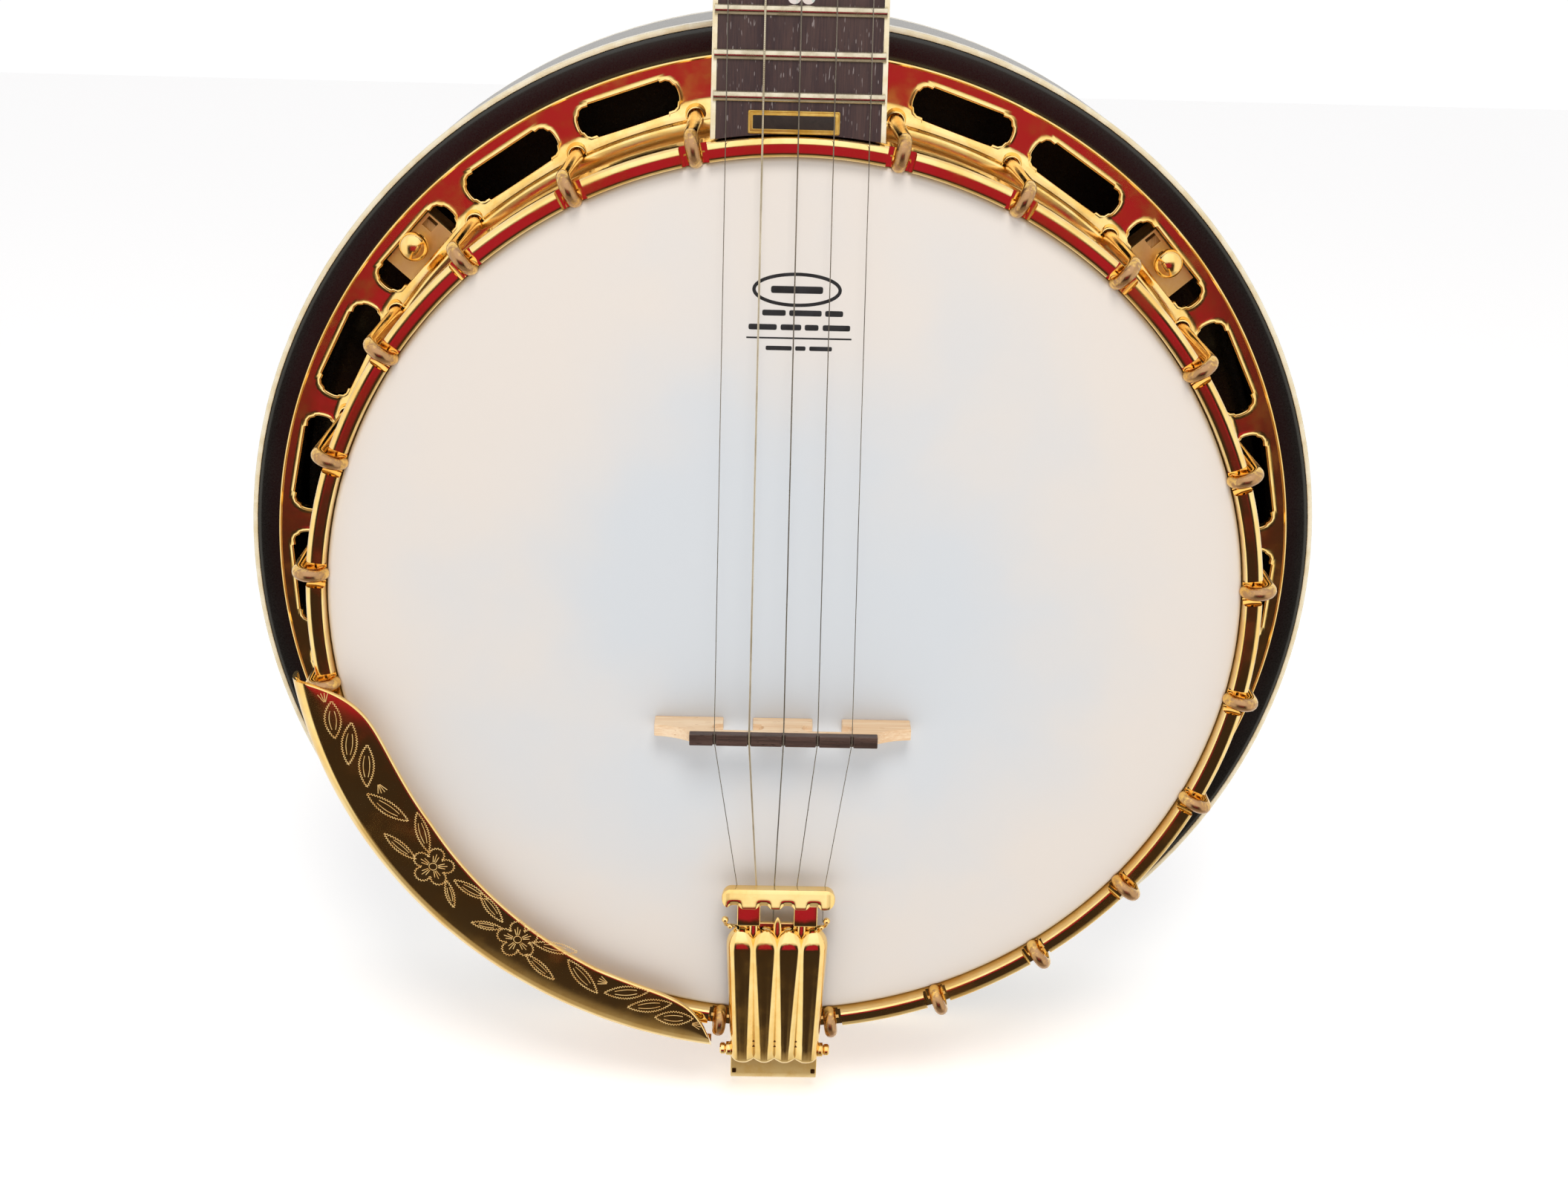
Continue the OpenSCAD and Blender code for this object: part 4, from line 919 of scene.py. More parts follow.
@dataclass(frozen=True)
class Flange:
    """One-piece flange: a flat plate with cusped windows, a rolled outer edge, and a cove up to the inner
    ring."""

    inner_r: float = 139.9
    ring_out: float = 147.3
    plate_out: float = 164.2
    under: float = 55.0
    window_r: float = 155.2
    half_w: float = 5.0
    half_l: float = 15.8
    end_r: float = 4.2
    bead: float = 0.24
    neck_gap: float = 25.4
    boss_r: float = 3.1
    along: int = 22
    across: int = 14

    def top(self, radius: Array) -> Array:
        """Height of the plate's upper face: flat, then a cove that sweeps up to the inner ring."""
        r = np.array([146.6, 147.3, 147.9, 148.6, 149.4, 150.3, 151.3, 152.4, 160.0, self.plate_out])
        rise = np.array([4.4, 3.9, 3.1, 2.3, 1.5, 0.85, 0.35, 0.05, -0.05, -0.15])
        return FLANGE_H + np.interp(radius, r, rise)

    def window(self) -> Array:
        """A window's outline in (radial, sideways) millimetres, in the order of its sector's edge: along the
        inner side, round the far end, back along the outer side and round the near end. Each side is
        straight. Each corner steps in, swells in a curve and steps in again to the end, so that it looks
        like a brace."""
        t = np.linspace(0, 1, 4)[:, None]
        swell = ((1 - t) ** 2 * np.array([4.3, 11.5]) + 2 * t * (1 - t) * np.array([5.0, 14.4])
                 + t**2 * np.array([2.5, 14.9]))
        corner = np.concatenate([swell, [[2.3, 15.45], [1.2, 15.75]]])
        far = np.concatenate([[[-self.half_w, 11.2]], corner * [-1, 1], [[0.0, self.half_l]], corner[::-1]])
        crowd = (1 - np.cos(np.linspace(0, math.pi, self.along + 1))) / 2
        side = -11.2 + 22.4 * crowd
        inner = np.stack([np.full_like(side, -self.half_w), side], axis=-1)
        return np.concatenate([inner[:-1], far, -inner[:-1], -far])

    def sector(self, middle: float) -> tuple[Array, Array]:
        """One window's sector of the plate.

        Args:
            middle: Angle of the window's middle.

        Returns:
            Rings from the window's wall foot out to the sector's edge, on top, and the same below.
        """
        outline = self.window()
        spine = np.stack([np.zeros(len(outline)), np.clip(outline[:, 1], -self.half_l + self.end_r,
                                                          self.half_l - self.end_r)], axis=-1)
        away = unit(outline - spine)
        half = HOOK_PITCH / 2
        turn = np.linspace(-half, half, self.along + 1)
        reach = np.linspace(self.ring_out, self.plate_out, self.across + 1)
        edge_r = np.concatenate([np.full(self.along, self.ring_out), reach[:-1],
                                 np.full(self.along, self.plate_out), reach[:0:-1]])
        edge_a = np.concatenate([turn[:-1], np.full(self.across, half), turn[:0:-1],
                                 np.full(self.across, -half)])
        offset = np.array([0.0, 0.12, 0.32, 0.56, 0.8, 1.05])
        swell = self.bead * np.array([0.1, 0.65, 1.0, 0.9, 0.35, 0.0])
        local = outline[None] + offset[:, None, None] * away[None]
        radius = np.hypot(self.window_r + local[..., 0], local[..., 1])
        angle = np.degrees(np.arctan2(local[..., 1], self.window_r + local[..., 0]))
        share = np.array([0.3, 0.65, 1.0])[:, None]
        radius = np.concatenate([radius, radius[-1] + share * (edge_r - radius[-1])])
        angle = np.concatenate([angle, angle[-1] + share * (edge_a - angle[-1])])
        swell = np.concatenate([swell, [0.0, 0.0, 0.0]])
        top = polar(radius, middle + angle, self.top(radius) + swell[:, None])
        wall = polar(radius[:1], middle + angle[:1], np.full_like(radius[:1], self.under))
        below = polar(np.stack([radius[0], edge_r]), middle + np.stack([angle[0], edge_a]), self.under)
        return np.concatenate([wall, top]), below

    def build(self) -> None:
        """Lays the sectors side by side, fills up to the neck, and adds the edge, the ring and the hook
        bosses."""
        draft = Draft()
        for middle in WINDOW_ANGLES:
            top, below = self.sector(middle)
            draft.grid(top, round_v=True).grid(below, round_v=True)
        steps = 4
        share = np.linspace(0, 1, steps)
        reach = np.linspace(self.ring_out, self.plate_out, self.across + 1)
        for side in (-1, 1):
            gap = np.degrees(np.arcsin(self.neck_gap / reach))[:, None]
            angle = 90 + side * (gap + (NECK_HOOK_ANGLE - gap) * share)
            draft.grid(polar(reach[:, None], angle, self.top(reach)[:, None]))
            draft.grid(polar(reach[:, None], angle, self.under))
        rolled = np.array([[self.plate_out, FLANGE_H - 0.15], [164.4, 57.55], [164.65, 57.75], [164.9, 57.7],
                           [165.1, 57.45], [165.2, 57.0], [165.2, 55.1], [165.0, 54.7], [164.7, 54.6],
                           [164.4, 54.75], [self.plate_out, self.under]])
        gap = np.degrees(np.arcsin(self.neck_gap / rolled[:, 0]))[:, None]
        sweep = np.concatenate([90 + NECK_HOOK_ANGLE + HOOK_PITCH * k + np.linspace(0, HOOK_PITCH,
                                                                                    self.along + 1)[:-1]
                                for k in range(HOOK_COUNT - 1)])
        head = 90 + gap + (NECK_HOOK_ANGLE - gap) * share[:-1]
        tail = 450 - gap - (NECK_HOOK_ANGLE - gap) * share[::-1]
        angle = np.concatenate([head, np.broadcast_to(sweep, (len(rolled), len(sweep))), tail], axis=1)
        draft.grid(polar(rolled[:, :1], angle, rolled[:, 1:]))
        ring = np.array([[self.ring_out, 61.4], [146.9, 61.85], [146.4, 62.0], [140.5, 62.0], [140.1, 61.85],
                         [self.inner_r, 61.5], [self.inner_r, 50.3], [140.2, 50.0], [143.2, 50.0], [143.5,
                                                                                                    50.3],
                         [143.5, self.under], [self.ring_out, self.under]])
        full = np.concatenate([sweep, 90 + np.linspace(-NECK_HOOK_ANGLE, NECK_HOOK_ANGLE, 9)[:-1]])
        draft.grid(polar(ring[:, :1], full[None], ring[:, 1:]), round_u=True, round_v=True)
        boss = np.array([[2.35, 57.0], [2.35, 60.3], [2.6, 60.7], [2.85, 60.6], [self.boss_r, 60.1],
                         [self.boss_r + 0.2, 59.0], [self.boss_r + 0.7, 57.4]])
        for a in np.radians(HOOK_ANGLES):
            draft.turned(boss, (HOOK_R * math.cos(a), HOOK_R * math.sin(a), 0.0), steps=20, ring=True)
        draft.piece("flange_casting", CAST_GOLD, ("flange",), sharp_deg=42)


@dataclass(frozen=True)
class TensionHoop:
    """Notched hoop that pulls the head down: a flat-faced band with eased edges and a notch for each hook."""

    inner_r: float = 140.3
    foot: float = 92.9
    notch_half: float = 4.0
    notch_floor: float = 103.1
    pocket_half: float = 3.1
    pocket_r: float = 143.4
    pocket_floor: float = 102.15

    def build(self) -> None:
        """Carries the hoop's section round the pot and holds its height down to the notch floors."""
        corners = np.array([[self.inner_r, self.foot], [HOOP_R, self.foot], [HOOP_R, HOOP_TOP],
                            [self.inner_r, HOOP_TOP - 0.25]])
        section = rounded(corners, np.array([0.5, 0.5, 2.3, 1.2]), 5)
        fill = np.linspace(0, 1, 5)[1:-1, None]
        walls = [section[5] + (section[6] - section[5]) * fill,
                 section[11] + (section[12] - section[11]) * fill,
                 section[17] + (section[18] - section[17]) * fill,
                 section[23] + (section[0] - section[23]) * fill]
        section = np.concatenate([section[:6], walls[0], section[6:12], walls[1], section[12:18], walls[2],
                                  section[18:], walls[3]])
        near = np.degrees(np.array([0.0, 1.6, 3.02, 3.1, 3.18, 3.5, 3.92, 4.0, 4.08, 4.5, 5.6, 8.0]) / HOOP_R)
        near = np.concatenate([-near[:0:-1], near])
        between = np.linspace(0, HOOK_PITCH, 9)[2:-2]
        angle = np.concatenate([(HOOK_ANGLES[:, None] + near).ravel(), (HOOK_ANGLES[:-1,
                                                                                    None] + between).ravel(),
                                90 + np.linspace(-7, 7, 9)])
        angle = np.sort(angle % 360)
        off = np.abs((angle[:, None] - HOOK_ANGLES + 180) % 360 - 180).min(axis=1) * math.radians(1) * HOOP_R
        ease = np.clip((off - self.notch_half + 0.08) / 0.16, 0, 1)
        limit = self.notch_floor + (HOOP_TOP + 1 - self.notch_floor) * ease
        deep = np.clip((off - self.pocket_half + 0.08) / 0.16, 0, 1)
        pocket = self.pocket_floor + (HOOP_TOP + 1 - self.pocket_floor) * deep
        height = np.minimum(section[None, :, 1], limit[:, None])
        height = np.where(section[None, :, 0] < self.pocket_r, np.minimum(height, pocket[:, None]), height)
        draft = Draft().grid(polar(section[None, :, 0], angle[:, None], height), round_u=True, round_v=True)
        draft.piece("tension_hoop_band", GOLD, ("tension_hoop",), sharp_deg=30)


@dataclass(frozen=True)
class Hooks:
    """Bracket hooks that bend over the hoop, and the long hexagon nuts that draw them down."""

    rod_r: float = 2.1
    arch_r: float = 3.6
    arch_h: float = 102.6
    foot: float = 42.0
    thread_top: float = 57.0

    def build(self) -> None:
        """Carries a round rod up, over a half circle and into its notch, once for each hook."""
        turn = np.radians(np.linspace(0, 180, 19))
        radius = np.concatenate([np.full(5, HOOK_R), HOOK_R - self.arch_r + self.arch_r * np.cos(turn),
                                 [HOOK_R - 2 * self.arch_r]])
        height = np.concatenate([[self.foot, self.foot + 0.5, self.thread_top, 80.0, 98.0],
                                 self.arch_h + self.arch_r * np.sin(turn), [self.arch_h - 0.3]])
        thick = np.concatenate([[self.rod_r - 0.5, self.rod_r - 0.1], np.full(3, self.rod_r),
                                np.full_like(turn, self.rod_r), [self.rod_r - 0.25]])
        draft = Draft()
        for angle in HOOK_ANGLES:
            a = math.radians(angle)
            draft.tube(polar(radius, angle, height), thick, (-math.sin(a), math.cos(a), 0.0), sides=16)
        draft.piece("bracket_hook_rods", HOOK_GOLD, ("bracket_hooks",))
        eased_copy("bracket_nuts", "bracket_hook_nuts", GOLD, 0.35)


@dataclass(frozen=True)
class Head:
    """Frosted head pulled over the tone ring, its plain printed mark, and the aluminium collar it is set
    in."""

    crown_r: float = 1.6
    skin: float = 0.35
    collar_top: float = 92.7
    collar_foot: float = 88.0

    def build(self) -> None:
        """Turns the film and the collar, and lays the mark's thin shapes on the film."""
        bend = np.radians(np.linspace(90, 0, 9))
        out = HEAD_R + 0.4
        rim = np.stack([out - self.crown_r + self.crown_r * np.cos(bend),
                        HEAD_TOP - self.crown_r + self.crown_r * np.sin(bend)], axis=-1)
        within = rim - self.skin * np.stack([np.cos(bend), np.sin(bend)], axis=-1)
        spokes = np.array([[r, HEAD_TOP] for r in (0.0, 20.0, 50.0, 80.0, 110.0, 130.0)])
        profile = np.concatenate([spokes, rim, [[out, self.collar_foot], [out - self.skin, self.collar_foot]],
                                  within[::-1], spokes[::-1] - [0, self.skin]])
        Draft().turned(profile, steps=192).piece("frosted_head_film", HEAD_FILM, ("head_skin",))
        collar = rounded(np.array([[140.2, self.collar_foot], [143.4, self.collar_foot], [143.4,
                                                                                          self.collar_top],
                                   [140.2, self.collar_top]]), 0.6)
        Draft().turned(collar, steps=192, ring=True).piece("head_collar", ALUMINIUM, ("flesh_hoop",))
        self._mark()

    def _mark(self) -> None:
        """A plain oval ring with a bar through it, two rows of short bars, an underline and a last row, in
        ink."""
        draft = Draft()
        turn = np.linspace(0, 2 * math.pi, 65)[:-1]
        oval = np.stack([0.9 + 12.4 * np.cos(turn), 102.4 + 4.5 * np.sin(turn),
                         np.full(64, HEAD_TOP + 0.012)], -1)
        draft.tube(oval, 0.5, (0.0, 0.0, 1.0), sides=4, flat=0.02, loop=True)
        rows = ((102.4, 2.1, ((-6.6, 15.0),)), (95.6, 1.7, ((-9.0, 6.8), (-1.2, 9.4), (9.2, 5.2))),
                (91.4, 1.7, ((-12.9, 8.2), (-3.6, 6.0), (3.4, 4.0), (8.6, 8.0))), (88.2, 0.5, ((-13.5, 30.6),
                                                                                               )),
                (85.2, 1.3, ((-7.8, 7.6), (0.8, 3.0), (4.9, 6.6))))
        for y, high, words in rows:
            for x, wide in words:
                corner = np.array([[x, y - high / 2], [x + wide, y - high / 2], [x + wide, y + high / 2],
                                   [x, y + high / 2]])
                draft.prism(rounded(corner, high * 0.3, 2), HEAD_TOP + 0.002, HEAD_TOP + 0.03, 0.008)
        draft.piece("printed_head_mark", HEAD_INK, body="root")


@dataclass(frozen=True)
class Rim:
    """What stands inside the pot: laminated rim, tone ring, coordinator rods, their nuts and the neck's
    bolts."""

    ring_in: float = 121.0

    def build(self) -> None:
        """Turns the tone ring's section and dresses the plainer parts."""
        top, skirt = HEAD_TOP - 0.4, 79.15
        corners = np.array([[self.ring_in, top - 11], [124, top - 11], [124, top - 4.5], [HEAD_R - 2.8,
                                                                                          top - 4.5],
                            [HEAD_R - 2.8, skirt], [HEAD_R - 0.1, skirt], [HEAD_R - 0.1, top - 0.3],
                            [HEAD_R - 1.2, top], [self.ring_in, top]])
        section = rounded(corners, np.array([0.4, 0.4, 0.4, 0.6, 0.3, 0.3, 0.1, 0.4, 1.2]), 3)
        Draft().turned(section, steps=144, ring=True).piece("tone_ring_casting", BRONZE, ("tone_ring",))
        eased_copy("rim", "laminated_rim", RIM_MAPLE, 0.4)
        for node in ("upper_coordinator_rod", "lower_coordinator_rod"):
            eased_copy(node, node + "_bar", STEEL, 0.4)
        eased_copy("coordinator_nuts", "coordinator_hex_nuts", STEEL, 0.35)
        eased_copy("neck_lag_bolts", "neck_bolts", STEEL, 0.3)


@dataclass(frozen=True)
class Resonator:
    """Black resonator with its cream bindings, the wooden lugs inside it, and the screws that hold it on."""

    edge_r: float = 172.9
    ledge_r: float = 161.0
    inner_r: float = 166.0
    ledge_h: float = 46.0
    notch_half: float = 21.0
    notch_floor: float = 31.0

    def back(self, radius: Array) -> Array:
        """Height of the back: flat to 60 mm, then a square-law arch of 8 mm to the edge."""
        return 8.0 * (np.maximum(radius - 60.0, 0) / (RESONATOR_R - 60.0)) ** 2

    def columns(self) -> tuple[Array, Array]:
        """Angles round the resonator, with doubled columns at both sides of the heel's notch.

        Returns:
            Shares of the notch's half angle, from -1 to 1, for the columns that are cut down, and shares of
            what is left of the turn, from 0 to 1, for the columns at full height.
        """
        within = np.linspace(-1, 1, 13)
        return within, np.linspace(0, 1, 169)

    def skin(self, profile: Array) -> Array:
        """A profile carried round the resonator, cut down to the notch's floor where the heel passes: the
        notch's columns follow its straight sides, and each side has two columns, one at full height and one
        cut down.

        Args:
            profile: Radius and height of each point.

        Returns:
            A grid with a row for each column of the turn.
        """
        r, h = profile[:, 0], profile[:, 1]
        beside = np.degrees(np.arcsin(np.clip(self.notch_half / np.maximum(r, 120.0), 0, 1)))
        within, around = self.columns()
        cut = 90 + within[:, None] * beside
        kept = 90 + beside + around[:, None] * (360 - 2 * beside)
        low = np.where(r > self.ledge_r - 8, np.minimum(h, self.notch_floor), h)
        return np.concatenate([polar(r, cut, low), polar(r, kept, h)])

    def build(self) -> None:
        """Carries the shell's and the bindings' sections round, and dresses lugs, plates and screws."""
        out = np.array([0.0, 30.0, 60.0, 75.0, 90.0, 105.0, 120.0, 135.0, 150.0, 162.0, self.edge_r])
        inner = out[-2::-1].copy()
        inner[0] = 160.0
        floor = np.stack([inner, self.back(inner) + 5.0], axis=-1)
        foot = 14.0
        wall = np.array([[self.edge_r, 13.9], [RESONATOR_R - 0.25, foot], [RESONATOR_R, foot + 0.25],
                         [RESONATOR_R, 47.95], [RESONATOR_R - 0.25, 48.2], [self.edge_r, 48.3], [self.edge_r,
                                                                                                 53.7],
                         [172.5, 54.05], [171.5, 54.2], [168.0, 54.2], [164.5, 54.0], [162.2, 53.7], [161.3,
                                                                                                      53.1],
                         [self.ledge_r, 52.2], [self.ledge_r, 46.6], [161.4, self.ledge_h], [165.6,
                                                                                             self.ledge_h],
                         [self.inner_r, 45.6], [self.inner_r, 16.0], [165.2, 13.2], [163.6, 12.2]])
        profile = np.concatenate([np.stack([out, self.back(out)], axis=-1), wall, floor])
        Draft().grid(self.skin(profile), round_u=True).piece(
            "resonator_body", BLACK_LACQUER, ("resonator_shell",), sharp_deg=34)
        bindings = Draft()
        for low, high, soft in ((48.2, RESONATOR_H, (0.1, 0.1, 0.9, 0.3)), (7.9, 14.0, (0.3, 0.9, 0.1, 0.1))):
            corners = np.array([[self.edge_r, low], [RESONATOR_R, low], [RESONATOR_R, high], [self.edge_r,
                                                                                              high]])
            section = rounded(corners, np.array(soft), 4)
            if low < 10:
                section[:, 1] = np.maximum(section[:, 1], 7.85)
            grid = self.skin(section)
            if low > 40:
                rest = grid[13:]
                bindings.grid(rest, round_v=True).cap(rest[0]).cap(rest[-1])
            else:
                bindings.grid(grid, round_u=True, round_v=True)
        bindings.piece("cream_edge_bindings", CREAM_BINDING, ("resonator_bindings",))
        eased_copy("resonator_lugs", "wooden_wall_lugs", LUG_MAPLE, 0.5)
        eased_copy("flange_brackets", "screw_bracket_plates", SATIN_GOLD, 0.25)
        for i, window in enumerate(SCREW_WINDOWS):
            self._screw(i + 1, math.radians(WINDOW_ANGLES[window]))

    def _screw(self, number: int, a: float) -> None:
        """A thumb screw: threaded shank, waisted collar and domed head."""
        centre = (SCREW_R * math.cos(a), SCREW_R * math.sin(a), 0.0)
        h = np.arange(36.0, 54.0, 0.25)
        thread = np.stack([2.22 + 0.14 * np.cos(h * 2 * math.pi), h], axis=-1)
        body = np.array([[2.3, 54.2], [3.1, 54.5], [3.1, 56.4], [2.5, 56.8], [2.5, 57.6], [4.1, 57.9], [4.5,
                                                                                                        58.3],
                         [4.5, 59.4], [4.35, 60.0]])
        dome = np.array([[3.9, 60.9], [3.1, 61.7], [2.0, 62.2], [0.8, 62.4], [0.0, 62.4]])
        draft = Draft()
        draft.turned(np.concatenate([[[0.0, 36.0]], thread, body, dome]), centre, steps=32)
        draft.piece(f"resonator_thumb_screw_{number}", GOLD, (f"resonator_screw_{number}",))


# ---------- armrest ----------


@dataclass(frozen=True)
class Armrest:
    """Gold plate over the hoop: a rolled outer edge, a flat face cut with leaves, buds and two flowers, and
    the clamps that hold it to the hoop. The pattern lies on (angle, radius) and is the same on both sides of
    middle."""

    first: float = 187.7
    last: float = 262.0
    face: float = 110.3
    under: float = 108.8
    outer: float = 153.0
    skirt_foot: float = 101.3
    middle: float = 224.9
    line_r: float = 0.15
    stitch: float = 0.42
    sway: float = 0.26

    def inner(self, a: Array) -> Array:
        """Radius of the inner edge: near the head's rim, swinging out to a tip at each end."""
        return (129.6 + 4.4 * np.clip((a - 212) / 32, 0, 1) + 21 * np.exp((self.first - a) / 3.2)
                + 16.8 * np.exp((a - self.last) / 2.8))

    def build(self) -> None:
        """Carries the plate's section from one tip to the other, cuts the pattern, and dresses the clamps."""
        a = self.first + (self.last - self.first) * (1 - np.cos(np.linspace(0, math.pi, 161))) / 2
        lip = np.array([[0.35, self.under], [0.05, self.under + 0.2], [0.0, self.under + 0.75],
                        [0.12, self.face - 0.35], [0.45, self.face - 0.08], [0.9, self.face]])
        bend = np.radians(np.linspace(90, 0, 12))
        roll = np.stack([self.outer - 5.0 + 5.0 * np.cos(bend), self.face - 6.5 + 6.5 * np.sin(bend)],
                        axis=-1)
        skirt = np.array([[self.outer, 102.0], [self.outer - 0.3, self.skirt_foot],
                          [self.outer - 1.0, self.skirt_foot], [self.outer - 1.3, 102.0]])
        hollow = roll[::-1] - np.stack([1.3 * np.cos(bend[::-1]), 1.4 * np.sin(bend[::-1])], axis=-1)
        inner = self.inner(a)[:, None]
        tip = np.clip((self.outer - 5.2 - inner) / 1.2, 0.02, 1.0)
        sway = np.minimum(inner + lip[:, 0] * tip, self.outer - 0.9)
        rest = np.concatenate([roll, skirt, hollow])
        fixed = np.maximum(np.broadcast_to(rest[:, 0], (len(a), len(rest))), inner + 0.9 * tip)
        fixed = np.minimum(fixed, np.broadcast_to(np.maximum(rest[:, 0], self.outer - 0.35), fixed.shape))
        radius = np.concatenate([sway, fixed], axis=1)
        height = np.concatenate([np.broadcast_to(lip[:, 1], sway.shape),
                                 np.broadcast_to(rest[:, 1], fixed.shape)], axis=1)
        rings = polar(radius, a[:, None], height)
        Draft().loft(rings).piece("armrest_plate", GOLD, ("armrest",), sharp_deg=50)
        self._pattern()
        eased_copy("armrest_clamps", "armrest_clamp_straps", GOLD, 0.3)

    def _at(self, a: float, r: float, turn_deg: float, shape: Array, flip: int) -> Array:
        """A small drawing, given in (along, outward) millimetres, turned and put at an angle and radius.

        Args:
            a: Angle of the drawing's middle from the armrest's middle.
            r: Radius of the drawing's middle.
            turn_deg: How far the drawing is turned.
            shape: Its points, two columns.
            flip: 1 or -1 for the side of the middle it is on.

        Returns:
            The points on the plate's face.
        """
        c, s = math.cos(math.radians(turn_deg)), math.sin(math.radians(turn_deg))
        along = shape[:, 0] * c - shape[:, 1] * s
        out = shape[:, 0] * s + shape[:, 1] * c
        angle = self.middle + flip * (a + np.degrees(along / r))
        return polar(r + out, angle, self.face + 0.02)

    def _stitched(self, draft: Draft, path: Array) -> None:
        """Adds a wriggle cut: the path is walked in even stitches, and every other one steps aside."""
        length = np.concatenate([[0], np.cumsum(np.linalg.norm(np.diff(path, axis=0), axis=1))])
        count = max(6, int(length[-1] / self.stitch))
        walk = np.linspace(0, length[-1], count)
        line = np.stack([np.interp(walk, length, path[:, k]) for k in range(3)], axis=-1)
        ahead = unit(np.gradient(line, axis=0))
        aside = np.stack([-ahead[:, 1], ahead[:, 0], ahead[:, 2] * 0], axis=-1)
        swing = self.sway * np.where(np.arange(count) % 2, 1.0, -1.0)[:, None]
        draft.tube(line + aside * swing, self.line_r, (0.0, 0.0, 1.0), sides=4, flat=0.5)

    def _pattern(self) -> None:
        """Leaves are two arcs that meet at both points, flowers are five arcs round a ring, and plain
        strokes fill leaves, buds and petals. One half is listed, outward from the middle, and both sides use
        it."""
        t = np.linspace(0, 1, 25)
        arc = np.stack([t - 0.5, np.sin(t * math.pi) ** 0.85], axis=-1)
        leaves = ((1.9, 134.6, 14, 12.5, 3.4), (3.3, 140.6, -30, 10.0, 2.6), (12.6, 133.6, -20, 14.5, 3.8),
                  (12.4, 142.6, 14, 13.0, 3.2), (17.9, 138.6, 26, 15.5, 4.4), (24.4, 138.0, -24, 14.5, 4.6),
                  (28.0, 140.2, -24, 14.5, 4.6), (31.6, 142.6, -12, 12.5, 5.0))
        cuts, strokes = Draft(), Draft()
        for flip in (-1, 1):
            for a, r, turn, length, width in leaves:
                for side in (-1, 1):
                    shape = arc * [length, side * width / 2]
                    self._stitched(cuts, self._at(a, r, turn, shape, flip))
                for lift in (-0.22, 0.22):
                    vein = np.stack([(t[4:20] - 0.5) * length * 0.8,
                                     lift * width * np.sin(t[4:20] * math.pi)], -1)
                    strokes.tube(self._at(a, r, turn, vein, flip), 0.11, (0.0, 0.0, 1.0), sides=4, flat=0.5)
            for tuft_a, tuft_r, tuft_turn in ((21.6, 137.2, 180), (33.9, 143.4, 0)):
                for fan in (-26, -9, 9, 26):
                    ray = np.stack([0.6 + 3.0 * t, 0.0 * t], axis=-1)
                    strokes.tube(self._at(tuft_a, tuft_r, tuft_turn + fan, ray, flip), 0.13, (0.0, 0.0, 1.0),
                                 sides=4, flat=0.5)
            self._flower(cuts, strokes, flip)
        cuts.piece("armrest_wriggle_cuts", CUT_GOLD, body="root")
        strokes.piece("armrest_graver_strokes", CUT_GOLD, body="root")

    def _flower(self, cuts: Draft, strokes: Draft, flip: int) -> None:
        """Five petals, each most of a circle round a point on a ring, three strokes in each, and a middle
        ring."""
        a, r, petal_at, petal_r = 7.7, 138.2, 4.3, 2.45
        t = np.linspace(-1, 1, 25) * math.radians(122)
        for k in range(5):
            middle = math.radians(72 * k + 18)
            shape = np.stack([petal_at + petal_r * np.cos(t), petal_r * np.sin(t)], axis=-1)
            turned = np.stack([shape[:, 0] * math.cos(middle) - shape[:, 1] * math.sin(middle),
                               shape[:, 0] * math.sin(middle) + shape[:, 1] * math.cos(middle)], axis=-1)
            self._stitched(cuts, self._at(a, r, 0, turned, flip))
            for fan in (-0.24, 0.0, 0.24):
                ray = np.linspace(1.7, 4.6 - abs(fan) * 3, 5)
                shape = np.stack([ray * math.cos(middle + fan), ray * math.sin(middle + fan)], axis=-1)
                strokes.tube(self._at(a, r, 0, shape, flip), 0.13, (0.0, 0.0, 1.0), sides=4, flat=0.5)
        ring = np.linspace(0, 2 * math.pi, 33)[:-1]
        shape = np.stack([1.25 * np.cos(ring), 1.25 * np.sin(ring)], axis=-1)
        strokes.tube(self._at(a, r, 0, shape, flip), 0.12, (0.0, 0.0, 1.0), sides=4, flat=0.5, loop=True)


# ---------- tailpiece, bridge and strings ----------


